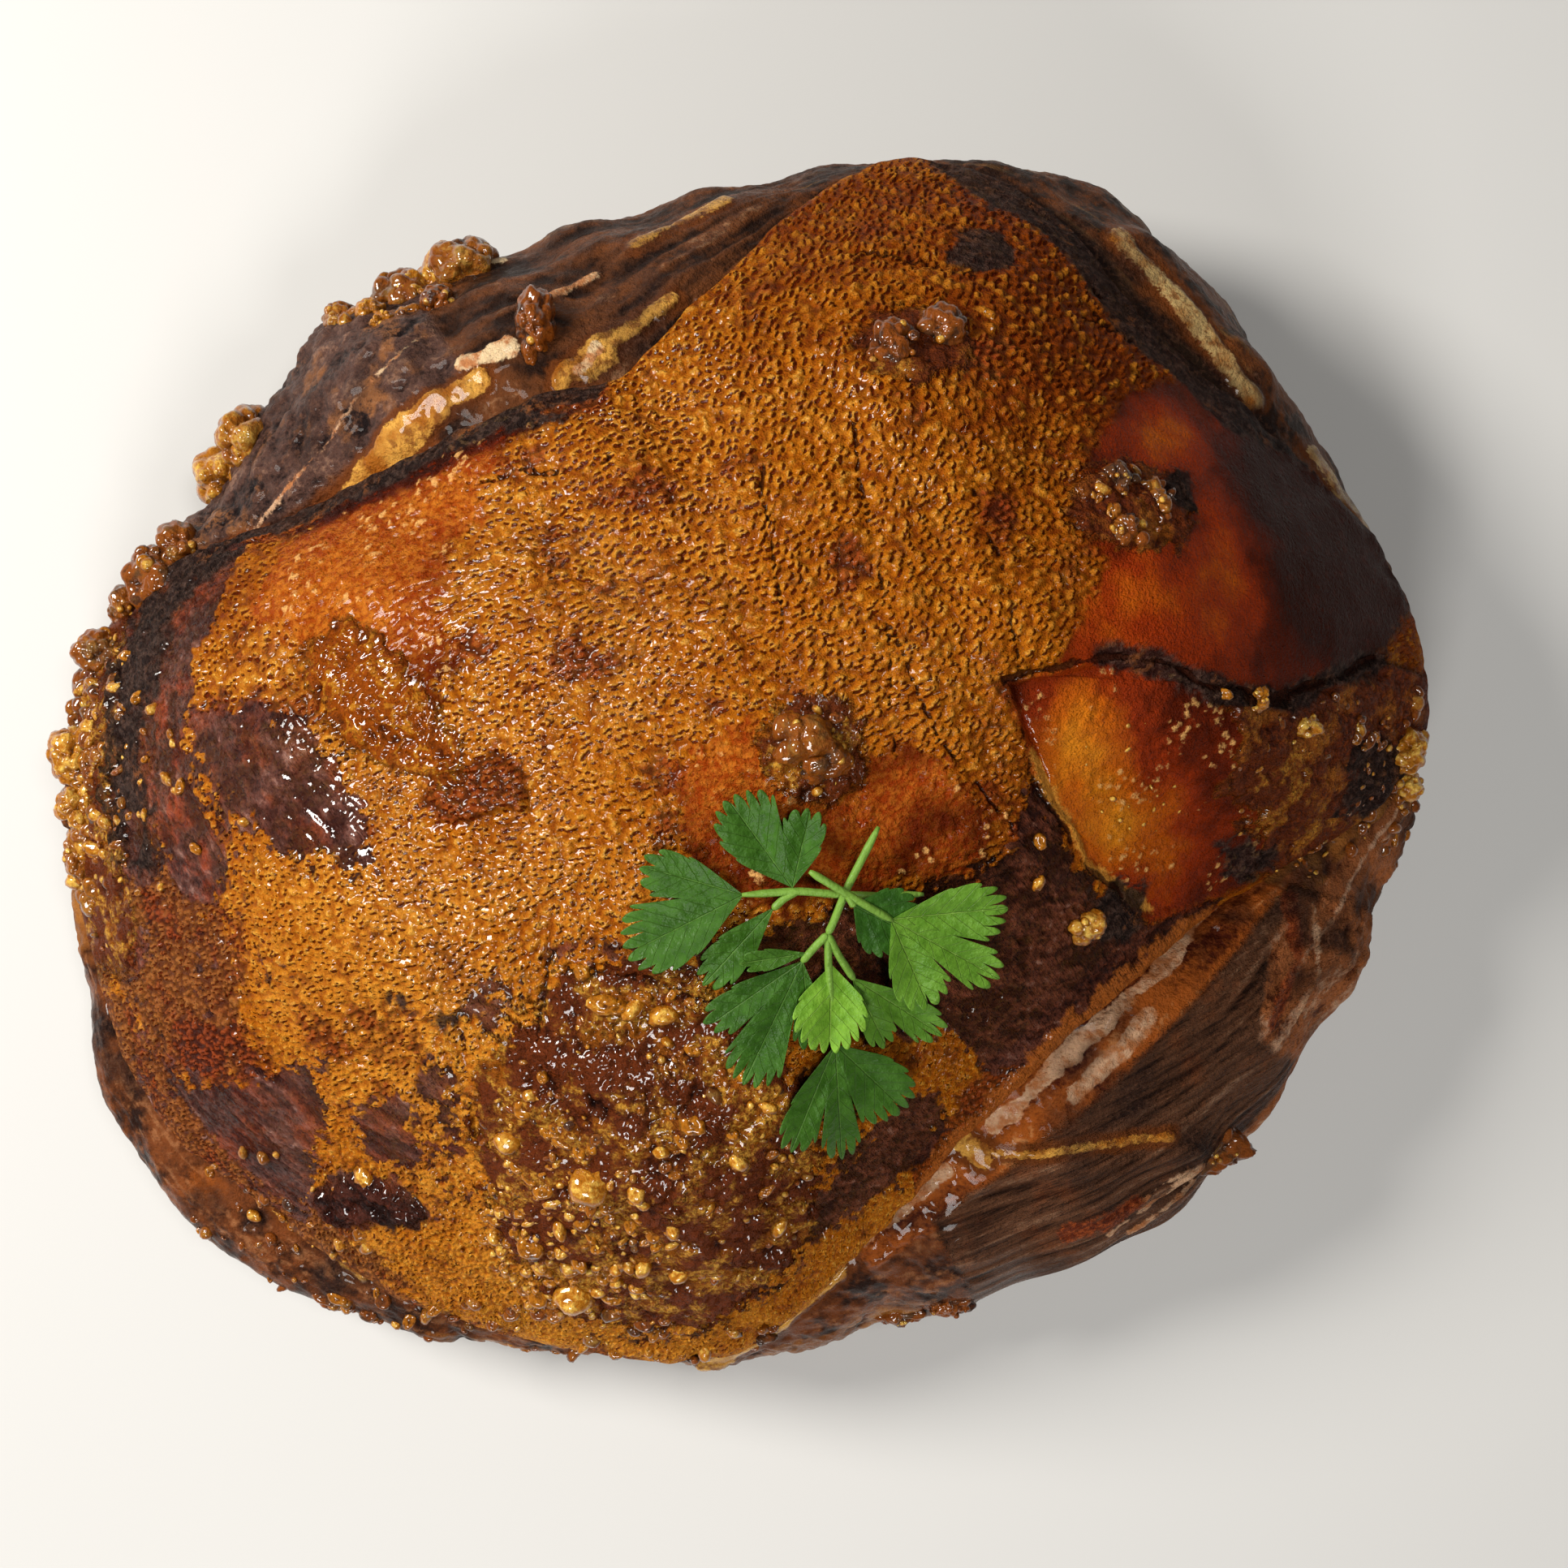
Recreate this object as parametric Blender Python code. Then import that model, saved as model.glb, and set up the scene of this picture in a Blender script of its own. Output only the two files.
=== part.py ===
"""Bone-in cooked ham with its rind on, and three sprigs of coriander lying on the crown.

The ham lies rind side up. Its body is one solid in three stretches: the crown, which is the rind
from its highest point out to its cut rim; the flank, which is the fat and lean from under that rim
over the waist to the foot; and the flat sole. Blisters and nuggets of crackling are fused on.
Metres, +Z up, +X along the ham. The origin is the middle of the ham's box, on its sole.
"""

import math

import bmesh
import bpy
import numpy as np
from mathutils import Vector
from mathutils.bvhtree import BVHTree

# ---------------------------------------------------------------- driving dimensions

APEX = Vector((0.020, 0.030, 0.140))  # the crown's highest point
CROWN_POWER = 2.3  # how flat the crown stays before it falls to the rim
RIND_THICKNESS = 0.0045
RIM_OVERHANG = 0.0015
FOOT_SHARE = 0.86  # the foot's radius over the waist's
FLANK_ROUNDNESS = 1.5
WAIST_AT = 0.55  # the share of the flank's rows above its waist

# One row every 15 degrees round the ham, starting at +X and turning to +Y:
# rim radius, rim height, waist radius, waist height.
STATIONS = (
    (0.179, 0.052, 0.182, 0.036),  # shank end
    (0.179, 0.060, 0.182, 0.040),
    (0.160, 0.076, 0.177, 0.044),
    (0.149, 0.086, 0.178, 0.046),  # strip of bare fat
    (0.160, 0.076, 0.178, 0.044),
    (0.160, 0.064, 0.167, 0.042),
    (0.119, 0.096, 0.153, 0.042),
    (0.095, 0.108, 0.147, 0.042),  # open side, where the rind has drawn back
    (0.098, 0.108, 0.150, 0.044),
    (0.106, 0.097, 0.156, 0.044),
    (0.125, 0.078, 0.155, 0.040),
    (0.165, 0.054, 0.171, 0.036),
    (0.178, 0.046, 0.182, 0.032),  # blistered end
    (0.180, 0.043, 0.184, 0.030),
    (0.181, 0.046, 0.196, 0.034),
    (0.171, 0.050, 0.192, 0.032),
    (0.168, 0.046, 0.179, 0.032),
    (0.163, 0.044, 0.166, 0.030),
    (0.157, 0.048, 0.163, 0.030),
    (0.130, 0.065, 0.159, 0.030),
    (0.112, 0.080, 0.162, 0.032),  # lean face, two muscles
    (0.107, 0.090, 0.172, 0.032),
    (0.112, 0.088, 0.172, 0.032),
    (0.133, 0.070, 0.176, 0.032),
)

# Broad swellings and hollows of the crown: x, y, radius, height.
SWELLINGS = (
    (-0.021, -0.100, 0.046, 0.009),  # knuckle under the big blister field
    (-0.112, -0.012, 0.036, 0.004),
    (-0.086, -0.052, 0.034, 0.004),
    (-0.069, 0.003, 0.016, -0.003),  # sunk, glassy patch
    (0.060, 0.100, 0.040, 0.004),
    (0.112, 0.045, 0.040, 0.003),
    (0.030, -0.062, 0.030, -0.003),
)

# Long folds of the skin: start, end, half width, height.
FOLDS = (
    ((0.034, 0.086), (0.050, -0.004), 0.006, 0.0012),
    ((0.002, 0.064), (0.022, 0.012), 0.006, 0.0012),
    ((0.052, 0.062), (0.066, 0.004), 0.006, 0.0010),
    ((-0.128, -0.020), (-0.112, -0.076), 0.008, -0.0022),
    ((-0.112, -0.076), (-0.084, -0.108), 0.008, -0.0018),
    ((-0.060, -0.066), (-0.066, -0.112), 0.007, -0.0018),
    ((-0.045, -0.058), (0.006, -0.066), 0.008, -0.0020),
)

# The flap of smooth rind beside the slit: its corners, and how far it lies below its neighbours.
FLAP = ((0.065, 0.018), (0.150, 0.016), (0.176, -0.030), (0.118, -0.046), (0.078, -0.014))
FLAP_DEPTH = 0.0025
FLAP_EDGE = 0.004

# Strips and seams of fat on the flank: start, end, half width, height.
FAT_STRIPS = (
    ((0.064, -0.104), (0.118, -0.099), 0.005, 0.0030),  # between the two muscles
    ((0.122, -0.044), (0.092, -0.078), 0.006, 0.0035),
    ((-0.101, 0.066), (-0.060, 0.097), 0.006, 0.0035),
    ((0.104, 0.131), (0.132, 0.096), 0.006, 0.0030),
)

# Broad swellings and hollows of the flank: x, y, radius, height.
FLANK_SWELLINGS = (
    (0.128, -0.063, 0.026, 0.0030),  # the muscle on the shank side
    (0.074, -0.122, 0.026, 0.0030),  # the muscle on the knuckle side
    (0.158, -0.046, 0.016, 0.0035),
    (-0.050, 0.102, 0.012, 0.0040),
    (-0.098, 0.096, 0.018, 0.0030),
    (0.020, 0.128, 0.022, -0.0030),
)

# Nuggets and blisters of crackling: x, y, half length along x, half length along y, how far it stands out.
BIG_NUGGETS = (
    (-0.1395, 0.0760, 0.0095, 0.0085, 0.0085),
    (-0.1320, 0.0860, 0.0075, 0.0075, 0.0075),
    (-0.0945, 0.1280, 0.0085, 0.0085, 0.0080),
    (-0.0790, 0.1300, 0.0080, 0.0075, 0.0080),
    (-0.0690, 0.1310, 0.0070, 0.0070, 0.0075),
    (-0.0860, 0.1230, 0.0050, 0.0050, 0.0060),
    (-0.1040, 0.1160, 0.0045, 0.0045, 0.0050),
    (-0.1510, 0.0480, 0.0085, 0.0080, 0.0070),
    (-0.1445, 0.0560, 0.0060, 0.0055, 0.0060),
    (-0.1600, 0.0400, 0.0050, 0.0050, 0.0050),
    (-0.1670, 0.0290, 0.0060, 0.0065, 0.0060),
    (-0.1750, 0.0010, 0.0060, 0.0080, 0.0060),
    (-0.1735, -0.0120, 0.0050, 0.0060, 0.0050),
    (-0.1740, -0.0240, 0.0045, 0.0060, 0.0045),
    (0.1760, 0.0030, 0.0045, 0.0050, 0.0045),
    (0.1790, -0.0060, 0.0040, 0.0040, 0.0040),
    (0.1410, 0.0090, 0.0055, 0.0040, 0.0035),
    (0.1250, 0.0150, 0.0045, 0.0035, 0.0030),
    (0.0160, 0.0050, 0.0070, 0.0065, 0.0052),
    (0.0220, -0.0010, 0.0065, 0.0060, 0.0055),
    (0.0380, 0.0930, 0.0065, 0.0075, 0.0045),
    (0.0490, 0.0980, 0.0055, 0.0055, 0.0040),
    (0.0900, 0.0640, 0.0055, 0.0060, 0.0035),
    (0.0990, 0.0590, 0.0065, 0.0050, 0.0035),
    (0.0920, 0.0525, 0.0060, 0.0045, 0.0032),
    (0.0850, -0.0400, 0.0042, 0.0042, 0.0035),
    (-0.0650, -0.0050, 0.0090, 0.0055, 0.0032),
    (-0.0880, 0.0120, 0.0090, 0.0070, 0.0028),
    (-0.0925, -0.1050, 0.0080, 0.0060, 0.0026),
    (-0.0410, -0.1330, 0.0075, 0.0060, 0.0045),
    (0.1330, -0.1040, 0.0090, 0.0080, 0.0050),
    (0.0440, -0.1500, 0.0060, 0.0050, 0.0050),
    (0.0570, -0.1460, 0.0055, 0.0050, 0.0045),
)

# Fields of small beads: centre, half lengths of the field, how many, least and greatest bead radius.
BEAD_FIELDS = (
    ((-0.022, -0.102), (0.046, 0.036), 24, 0.0022, 0.0038),
    ((-0.158, 0.004), (0.010, 0.044), 8, 0.0020, 0.0032),
    ((0.148, -0.012), (0.024, 0.022), 8, 0.0018, 0.0028),
)
BEAD_LIFT = 0.2  # how far a bead's middle stands over the skin, as a share of its radius
DRAW_SEED = 20

# Mesh density.
CROWN_CELLS = 36  # the crown's square grid has this many cells a side
FLANK_ROWS = 9
NUGGET_DETAIL = 2
BEAD_DETAIL = 1

# Coriander.
BLADE_THICKNESS = 0.0006
STEM_RADIUS = 0.0009
LEVEL_STEP = 0.0026  # how far one sprig lies above the next where they cross
CROSSING = (0.0285, -0.0330)
CROSSING_REACH = 0.032
LOWEST_GAP = 0.0012
COVER_CELL = 0.003  # grid of the surface that the sprigs are laid on
COVER_REACH = 1  # cells over which that surface takes the highest point


# ---------------------------------------------------------------- the ham's surface


def closed_curve(values, bearing):
    """A smooth closed curve through equally spaced values, read at these bearings (Catmull-Rom)."""
    values = np.asarray(values, float)
    place = np.asarray(bearing, float) / (2 * math.pi) * len(values)
    before = np.floor(place).astype(int)
    f = place - before
    a, b, c, d = (values[(before + k) % len(values)] for k in (-1, 0, 1, 2))
    return 0.5 * (2 * b + (c - a) * f + (2 * a - 5 * b + 4 * c - d) * f**2 + (3 * b - a - 3 * c + d) * f**3)


def station_curves(bearing):
    """Rim radius, rim height, waist radius and waist height at these bearings."""
    return [closed_curve(column, bearing) for column in zip(*STATIONS)]


def segment_distance(x, y, start, end):
    """The distance of each point from the straight line between start and end."""
    along = np.array(end) - np.array(start)
    t = ((x - start[0]) * along[0] + (y - start[1]) * along[1]) / (along @ along)
    t = np.clip(t, 0, 1)
    return np.hypot(x - start[0] - t * along[0], y - start[1] - t * along[1])


def soft_step(value, low, high):
    """0 below low, 1 above high, and a smooth rise between."""
    t = np.clip((value - low) / (high - low), 0, 1)
    return t * t * (3 - 2 * t)


def inside_distance(x, y, corners):
    """How far each point lies inside a convex outline given clockwise, and negative outside."""
    nearest = np.full(np.shape(x), np.inf)
    for (ax, ay), (bx, by) in zip(corners, corners[1:] + corners[:1]):
        side = ((by - ay) * (x - ax) - (bx - ax) * (y - ay)) / math.hypot(bx - ax, by - ay)
        nearest = np.minimum(nearest, side)
    return nearest


def ripple(x, y, z):
    """Slow unevenness of roast meat: three crossed waves, between -1 and 1."""
    return (
        np.sin(95 * x + 40 * y + 1.0) * np.cos(70 * y - 55 * z)
        + np.sin(60 * x - 130 * y + 150 * z + 2.0)
        + np.sin(170 * x + 85 * y - 60 * z)
    ) / 3


def crown_relief(x, y):
    """Height added to the smooth crown: swellings, skin folds and the sunk flap."""
    height = 0.0012 * ripple(x, y, 0 * x)
    for cx, cy, radius, lift in SWELLINGS:
        height = height + lift * np.exp(-((x - cx) ** 2 + (y - cy) ** 2) / radius**2)
    for start, end, half_width, lift in FOLDS:
        height = height + lift * np.exp(-((segment_distance(x, y, start, end) / half_width) ** 2))
    return height - FLAP_DEPTH * soft_step(inside_distance(x, y, FLAP), 0, FLAP_EDGE)


def crown_point(share, bearing):
    """The rind at this share of the way from the apex to the rim: a line from the apex to the rim
    in plan, raised by 1 - share^CROWN_POWER of the apex's height over the rim."""
    rim_radius, rim_height, _, _ = station_curves(bearing)
    x = APEX.x * (1 - share) + rim_radius * np.cos(bearing) * share
    y = APEX.y * (1 - share) + rim_radius * np.sin(bearing) * share
    z = rim_height + (APEX.z - rim_height) * (1 - share**CROWN_POWER)
    return np.stack([x, y, z + crown_relief(x, y) * (1 - share**10)], -1)


def flank_point(share, bearing):
    """The side from under the rim (share 0) over the waist to the foot (share 1): two quarter
    rounds, the upper one flattened, swollen along its fat strips and muscles."""
    rim_radius, rim_height, waist_radius, waist_height = station_curves(bearing)
    start_radius = rim_radius - RIM_OVERHANG
    start_height = rim_height - RIND_THICKNESS
    foot_radius = waist_radius * FOOT_SHARE
    upper = np.clip(share / WAIST_AT, 0, 1)
    turn = np.clip((share - WAIST_AT) / (1 - WAIST_AT), 0, 1) * math.pi / 2
    out = 1 - (1 - upper) ** FLANK_ROUNDNESS
    radius = start_radius + (waist_radius - start_radius) * out
    height = start_height - (start_height - waist_height) * upper**FLANK_ROUNDNESS
    below = share > WAIST_AT
    radius = np.where(below, foot_radius + (waist_radius - foot_radius) * np.cos(turn), radius)
    height = np.where(below, waist_height * (1 - np.sin(turn)), height)
    x, y = radius * np.cos(bearing), radius * np.sin(bearing)
    bulge = 0.0024 * ripple(x, y, height)
    for start, end, half_width, lift in FAT_STRIPS:
        bulge = bulge + lift * np.exp(-((segment_distance(x, y, start, end) / half_width) ** 2))
    for cx, cy, reach, lift in FLANK_SWELLINGS:
        bulge = bulge + lift * np.exp(-((x - cx) ** 2 + (y - cy) ** 2) / reach**2)
    bulge = bulge * np.sin(np.clip(share, 0, 1) * math.pi)
    return np.stack([x + bulge * np.cos(bearing), y + bulge * np.sin(bearing), height + 0.7 * bulge], -1)


# ---------------------------------------------------------------- meshes and joins


def new_object(name, mesh, material=None):
    obj = bpy.data.objects.new(name, mesh)
    bpy.context.scene.collection.objects.link(obj)
    if material:
        mesh.materials.append(material)
    return obj


def food_material(name, colour, roughness):
    material = bpy.data.materials.new(name)
    material.use_nodes = True
    shader = material.node_tree.nodes["Principled BSDF"]
    shader.inputs["Base Color"].default_value = (*colour, 1)
    shader.inputs["Roughness"].default_value = roughness
    shader.inputs["Metallic"].default_value = 0
    material.diffuse_color = (*colour, 1)
    return material


def mesh_of(name, points, faces):
    mesh = bpy.data.meshes.new(name)
    mesh.from_pydata([tuple(p) for p in points], [], faces)
    work = bmesh.new()
    work.from_mesh(mesh)
    bmesh.ops.remove_doubles(work, verts=work.verts, dist=1e-6)
    bmesh.ops.triangulate(work, faces=work.faces)
    bmesh.ops.recalc_face_normals(work, faces=work.faces)
    work.to_mesh(mesh)
    work.free()
    return mesh


def fuse(target, pieces):
    """Joins the pieces to the target with one union, applies it and removes them."""
    group = bpy.data.collections.new(target.name + "_pieces")
    bpy.context.scene.collection.children.link(group)
    for piece in pieces:
        bpy.context.scene.collection.objects.unlink(piece)
        group.objects.link(piece)
    union = target.modifiers.new("union", "BOOLEAN")
    union.operation = "UNION"
    union.solver = "MANIFOLD"
    union.operand_type = "COLLECTION"
    union.collection = group
    graph = bpy.context.evaluated_depsgraph_get()
    joined = bpy.data.meshes.new_from_object(target.evaluated_get(graph))
    target.modifiers.remove(union)
    target.data = joined
    for piece in pieces:
        bpy.data.objects.remove(piece)
    bpy.data.collections.remove(group)
    keep_body(target)


def keep_body(obj):
    """Fills sealed hollows and drops loose scraps: only the largest shell of the mesh stays."""
    work = bmesh.new()
    work.from_mesh(obj.data)
    unseen = set(work.verts)
    shells = []
    while unseen:
        reached = {unseen.pop()}
        front = list(reached)
        while front:
            near = {edge.other_vert(vertex) for vertex in front for edge in vertex.link_edges}
            front = list(near & unseen)
            unseen -= near
            reached |= near
        shells.append(reached)
    body = max(shells, key=len)
    bmesh.ops.delete(work, geom=[v for v in work.verts if v not in body], context="VERTS")
    work.to_mesh(obj.data)
    work.free()


def square_to_disc(a, b):
    """Share and bearing of points on a square from -1 to 1, ring by ring (the concentric map)."""
    wide = np.abs(a) >= np.abs(b)
    ring = np.where(wide, a, b)
    safe = np.where(ring == 0, 1, ring)
    turn = np.where(wide, math.pi / 4 * b / safe, math.pi / 2 - math.pi / 4 * a / safe)
    return np.abs(ring), turn + np.where(ring < 0, math.pi, 0)


def ham_body():
    """The crown's square grid, the flank's rings and the flat sole, as one closed mesh."""
    n = CROWN_CELLS
    line = np.linspace(-1, 1, n + 1)
    a, b = np.meshgrid(line, line, indexing="ij")
    share, bearing = square_to_disc(a, b)
    points = list(crown_point(share, bearing).reshape(-1, 3))
    faces = []
    for i in range(n):
        for j in range(n):
            k = i * (n + 1) + j
            faces.append((k, k + n + 1, k + n + 2, k + 1))
    # The square's edge, walked round from its lower left corner, carries on as the flank's rings.
    edge = (
        [i * (n + 1) for i in range(n)]
        + [n * (n + 1) + j for j in range(n)]
        + [i * (n + 1) + n for i in range(n, 0, -1)]
        + [j for j in range(n, 0, -1)]
    )
    edge_bearing = bearing.reshape(-1)[edge]
    ring = edge
    for row in range(FLANK_ROWS + 1):
        first = len(points)
        points += list(flank_point(np.full(len(edge), row / FLANK_ROWS), edge_bearing))
        following = list(range(first, first + len(edge)))
        for k in range(len(edge)):
            m = (k + 1) % len(edge)
            faces.append((ring[k], ring[m], following[m], following[k]))
        ring = following
    points.append((0, 0, 0))
    faces += [(ring[k], ring[(k + 1) % len(ring)], len(points) - 1) for k in range(len(ring))]
    return mesh_of("ham", points, faces)


def nugget(centre, half_lengths, detail, draw):
    """A knobbly ball: an icosphere whose points move in and out by a few percent."""
    work = bmesh.new()
    bmesh.ops.create_icosphere(work, subdivisions=detail, radius=1)
    for vertex in work.verts:
        size = draw.uniform(0.88, 1.10)
        vertex.co = Vector(centre) + Vector([c * h * size for c, h in zip(vertex.co, half_lengths)])
    bmesh.ops.recalc_face_normals(work, faces=work.faces)
    mesh = bpy.data.meshes.new("nugget")
    work.to_mesh(mesh)
    work.free()
    return new_object("nugget", mesh)


def on_skin(tree, x, y):
    """Where a plumb line at x, y meets the ham. Beside the ham, the line moves in towards the apex."""
    place = Vector((x, y, 1))
    hit = tree.ray_cast(place, Vector((0, 0, -1)))[0]
    while not hit:
        place += 0.001 * (Vector((APEX.x, APEX.y, 1)) - place).normalized()
        hit = tree.ray_cast(place, Vector((0, 0, -1)))[0]
    return hit


def tree_of(obj):
    return BVHTree.FromPolygons([v.co for v in obj.data.vertices], [p.vertices for p in obj.data.polygons])


def crackling(tree, draw):
    """The named nuggets and the seeded bead fields, as loose balls sunk into the skin."""
    balls = []
    for x, y, half_x, half_y, stands in BIG_NUGGETS:
        spot = on_skin(tree, x, y)
        middle = (spot.x, spot.y, spot.z - 0.2 * stands)
        balls.append(nugget(middle, (half_x, half_y, stands * 1.2), NUGGET_DETAIL, draw))
    for (cx, cy), (reach_x, reach_y), count, least, most in BEAD_FIELDS:
        placed = []
        while len(placed) < count:
            angle, share = draw.uniform(0, 2 * math.pi), math.sqrt(draw.uniform(0, 1))
            x = cx + reach_x * share * math.cos(angle)
            y = cy + reach_y * share * math.sin(angle)
            radius = draw.uniform(least, most)
            if any(math.hypot(x - px, y - py) < radius + pr for px, py, pr in placed):
                continue
            placed.append((x, y, radius))
            spot = on_skin(tree, x, y)
            middle = (spot.x, spot.y, spot.z + BEAD_LIFT * radius)
            balls.append(nugget(middle, (radius, radius, radius), BEAD_DETAIL, draw))
    return balls


# ---------------------------------------------------------------- coriander


def cover_surface(tree):
    """A smooth blanket over the ham that nothing pokes through, read by x and y."""
    half = 0.09
    cells = int(2 * half / COVER_CELL)
    middle = Vector((0.01, -0.04))
    heights = np.zeros((cells, cells))
    for i in range(cells):
        for j in range(cells):
            x = middle.x - half + i * COVER_CELL
            y = middle.y - half + j * COVER_CELL
            heights[i, j] = on_skin(tree, x, y).z
    highest = heights
    for dx in range(-COVER_REACH, COVER_REACH + 1):
        for dy in range(-COVER_REACH, COVER_REACH + 1):
            highest = np.maximum(highest, np.roll(heights, (dx, dy), (0, 1)))
    for _ in range(3):
        highest = sum(np.roll(highest, (dx, dy), (0, 1)) for dx in (-1, 0, 1) for dy in (-1, 0, 1)) / 9

    def read(x, y):
        u = np.clip((np.asarray(x) - middle.x + half) / COVER_CELL, 0, cells - 2)
        v = np.clip((np.asarray(y) - middle.y + half) / COVER_CELL, 0, cells - 2)
        i, j = u.astype(int), v.astype(int)
        f, g = u - i, v - j
        low = highest[i, j] * (1 - g) + highest[i, j + 1] * g
        high = highest[i + 1, j] * (1 - g) + highest[i + 1, j + 1] * g
        return low * (1 - f) + high * f

    return read


# A blade: its foot on the stem, its lobes from right to left (first bearing, last bearing, reach),
# the share of the reach that the slits between lobes leave, and how far its tip and edges lift.
SPRIGS = {
    "coriander_sprig_1": {
        "level": 0,
        "stems": (
            ((0.0445, -0.0309), (0.0345, -0.0312), (0.0259, -0.0308), (0.0161, -0.0299), (0.0036, -0.0308)),
            ((0.0161, -0.0299), (0.0130, -0.0316), (0.0105, -0.0340)),
        ),
        "blades": (
            ((0.0149, -0.0292), ((46, 103, 0.0212), (106, 154, 0.0236)), 0.54, 0.0030, 0.0010),
            ((0.0040, -0.0308), ((146, 177, 0.0250), (184, 232, 0.0285)), 0.50, 0.0020, 0.0014),
            ((0.0108, -0.0336), ((212, 244, 0.0232),), 1.00, 0.0004, 0.0008),
        ),
    },
    "coriander_sprig_2": {
        "level": 1,
        "stems": (
            ((0.0340, -0.0155), (0.0270, -0.0292), (0.0240, -0.0371), (0.0228, -0.0396)),
            ((0.0228, -0.0396), (0.0230, -0.0466), (0.0236, -0.0560), (0.0240, -0.0657)),
            ((0.0228, -0.0396), (0.0198, -0.0427), (0.0170, -0.0460)),
            ((0.0228, -0.0396), (0.0252, -0.0445), (0.0290, -0.0505)),
        ),
        "blades": (
            ((0.0172, -0.0458), ((262, 287, 0.0215), (233, 258, 0.0300), (206, 230, 0.0240)), 0.52, 0.0012, 0.0010),
            ((0.0185, -0.0440), ((176, 200, 0.0150),), 1.00, 0.0026, 0.0006),
            ((0.0232, -0.0468), ((228, 304, 0.0195),), 1.00, 0.0050, -0.0008),
            ((0.0286, -0.0500), ((311, 335, 0.0235), (286, 308, 0.0172)), 0.66, 0.0006, 0.0012),
            ((0.0240, -0.0645), ((294, 342, 0.0232), (266, 290, 0.0300), (237, 262, 0.0285)), 0.42, 0.0006, 0.0012),
        ),
    },
    "coriander_sprig_3": {
        "level": 2,
        "stems": (
            ((0.0186, -0.0253), (0.0271, -0.0305), (0.0374, -0.0366)),
            ((0.0271, -0.0305), (0.0286, -0.0332)),
        ),
        "blades": (
            ((0.0366, -0.0361), ((-17, 22, 0.0262), (-47, -20, 0.0285), (-88, -50, 0.0225)), 0.42, 0.0026, 0.0010),
            ((0.0284, -0.0330), ((-78, 24, 0.0158),), 1.00, -0.0010, 0.0006),
        ),
    },
}
TEETH_TO_A_LOBE = 3
TOOTH_DEPTH = 0.10
LOBE_SHOULDER = 0.70  # a lobe's reach at its two sides over its reach at its tip
BLADE_RINGS = (0.40, 0.75, 1.0)


def fan_outline(lobes, slit_depth):
    """Bearings across the fan, and the blade's reach there: each lobe is a rounded hump with teeth
    along it, and between two lobes a slit runs in towards the foot."""
    turns, reaches = [], []
    steps = TEETH_TO_A_LOBE * 2
    ordered = sorted(lobes)
    for number, (first, last, reach) in enumerate(ordered):
        for step in range(steps + 1):
            hump = LOBE_SHOULDER + (1 - LOBE_SHOULDER) * math.sin(math.pi * step / steps)
            tooth = 1 - TOOTH_DEPTH * (step % 2 == 0)
            turns.append(first + (last - first) * step / steps)
            reaches.append(reach * hump * tooth)
        if number < len(ordered) - 1:
            following = ordered[number + 1]
            turns.append((last + following[0]) / 2)
            reaches.append(slit_depth * min(reach, following[2]))
    return np.radians(turns), np.array(reaches)


def level_lift(x, y, level):
    """How far a sprig of this level stands off the cover: most where the sprigs cross."""
    away = np.hypot(x - CROSSING[0], y - CROSSING[1]) / CROSSING_REACH
    return LOWEST_GAP + STEM_RADIUS + LEVEL_STEP * level * (0.45 + 0.55 * np.exp(-(away**2)))


def blade_mesh(cover, level, foot, lobes, slit_depth, tip_lift, edge_lift):
    """One leaflet: a fan of rings about its foot, with an upper and a lower face split alike."""
    bearing, reaches = fan_outline(lobes, slit_depth)
    turns = bearing - bearing.mean()
    shares = np.array([0.0, *BLADE_RINGS])
    reach = shares[:, None] * reaches[None, :]
    x = foot[0] + reach * np.cos(bearing)
    y = foot[1] + reach * np.sin(bearing)
    across = np.abs(turns[None, :]) / np.abs(turns).max()
    wave = 0.0004 * np.sin(7 * turns[None, :] + 4 * shares[:, None])
    lift = tip_lift * shares[:, None] ** 1.5 + edge_lift * across**2 * shares[:, None] + wave * shares[:, None]
    z = cover(x, y) + level_lift(x, y, level) + np.maximum(lift, -0.0004)
    rows, columns = x.shape
    upper = np.stack([x, y, z + BLADE_THICKNESS / 2], -1).reshape(-1, 3)
    lower = np.stack([x, y, z - BLADE_THICKNESS / 2], -1).reshape(-1, 3)
    size, faces = rows * columns, []
    for r in range(rows - 1):
        for c in range(columns - 1):
            k = r * columns + c
            for a, b, d in ((k, k + columns, k + columns + 1), (k, k + columns + 1, k + 1)):
                faces.append((a, b, d))
                faces.append((d + size, b + size, a + size))
    outside = (
        [r * columns for r in range(rows)]
        + [(rows - 1) * columns + c for c in range(1, columns)]
        + [r * columns + columns - 1 for r in range(rows - 2, -1, -1)]
    )
    for a, b in zip(outside, outside[1:]):
        faces.append((a, a + size, b + size, b))
    return mesh_of("blade", np.concatenate([upper, lower]), faces)


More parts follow.
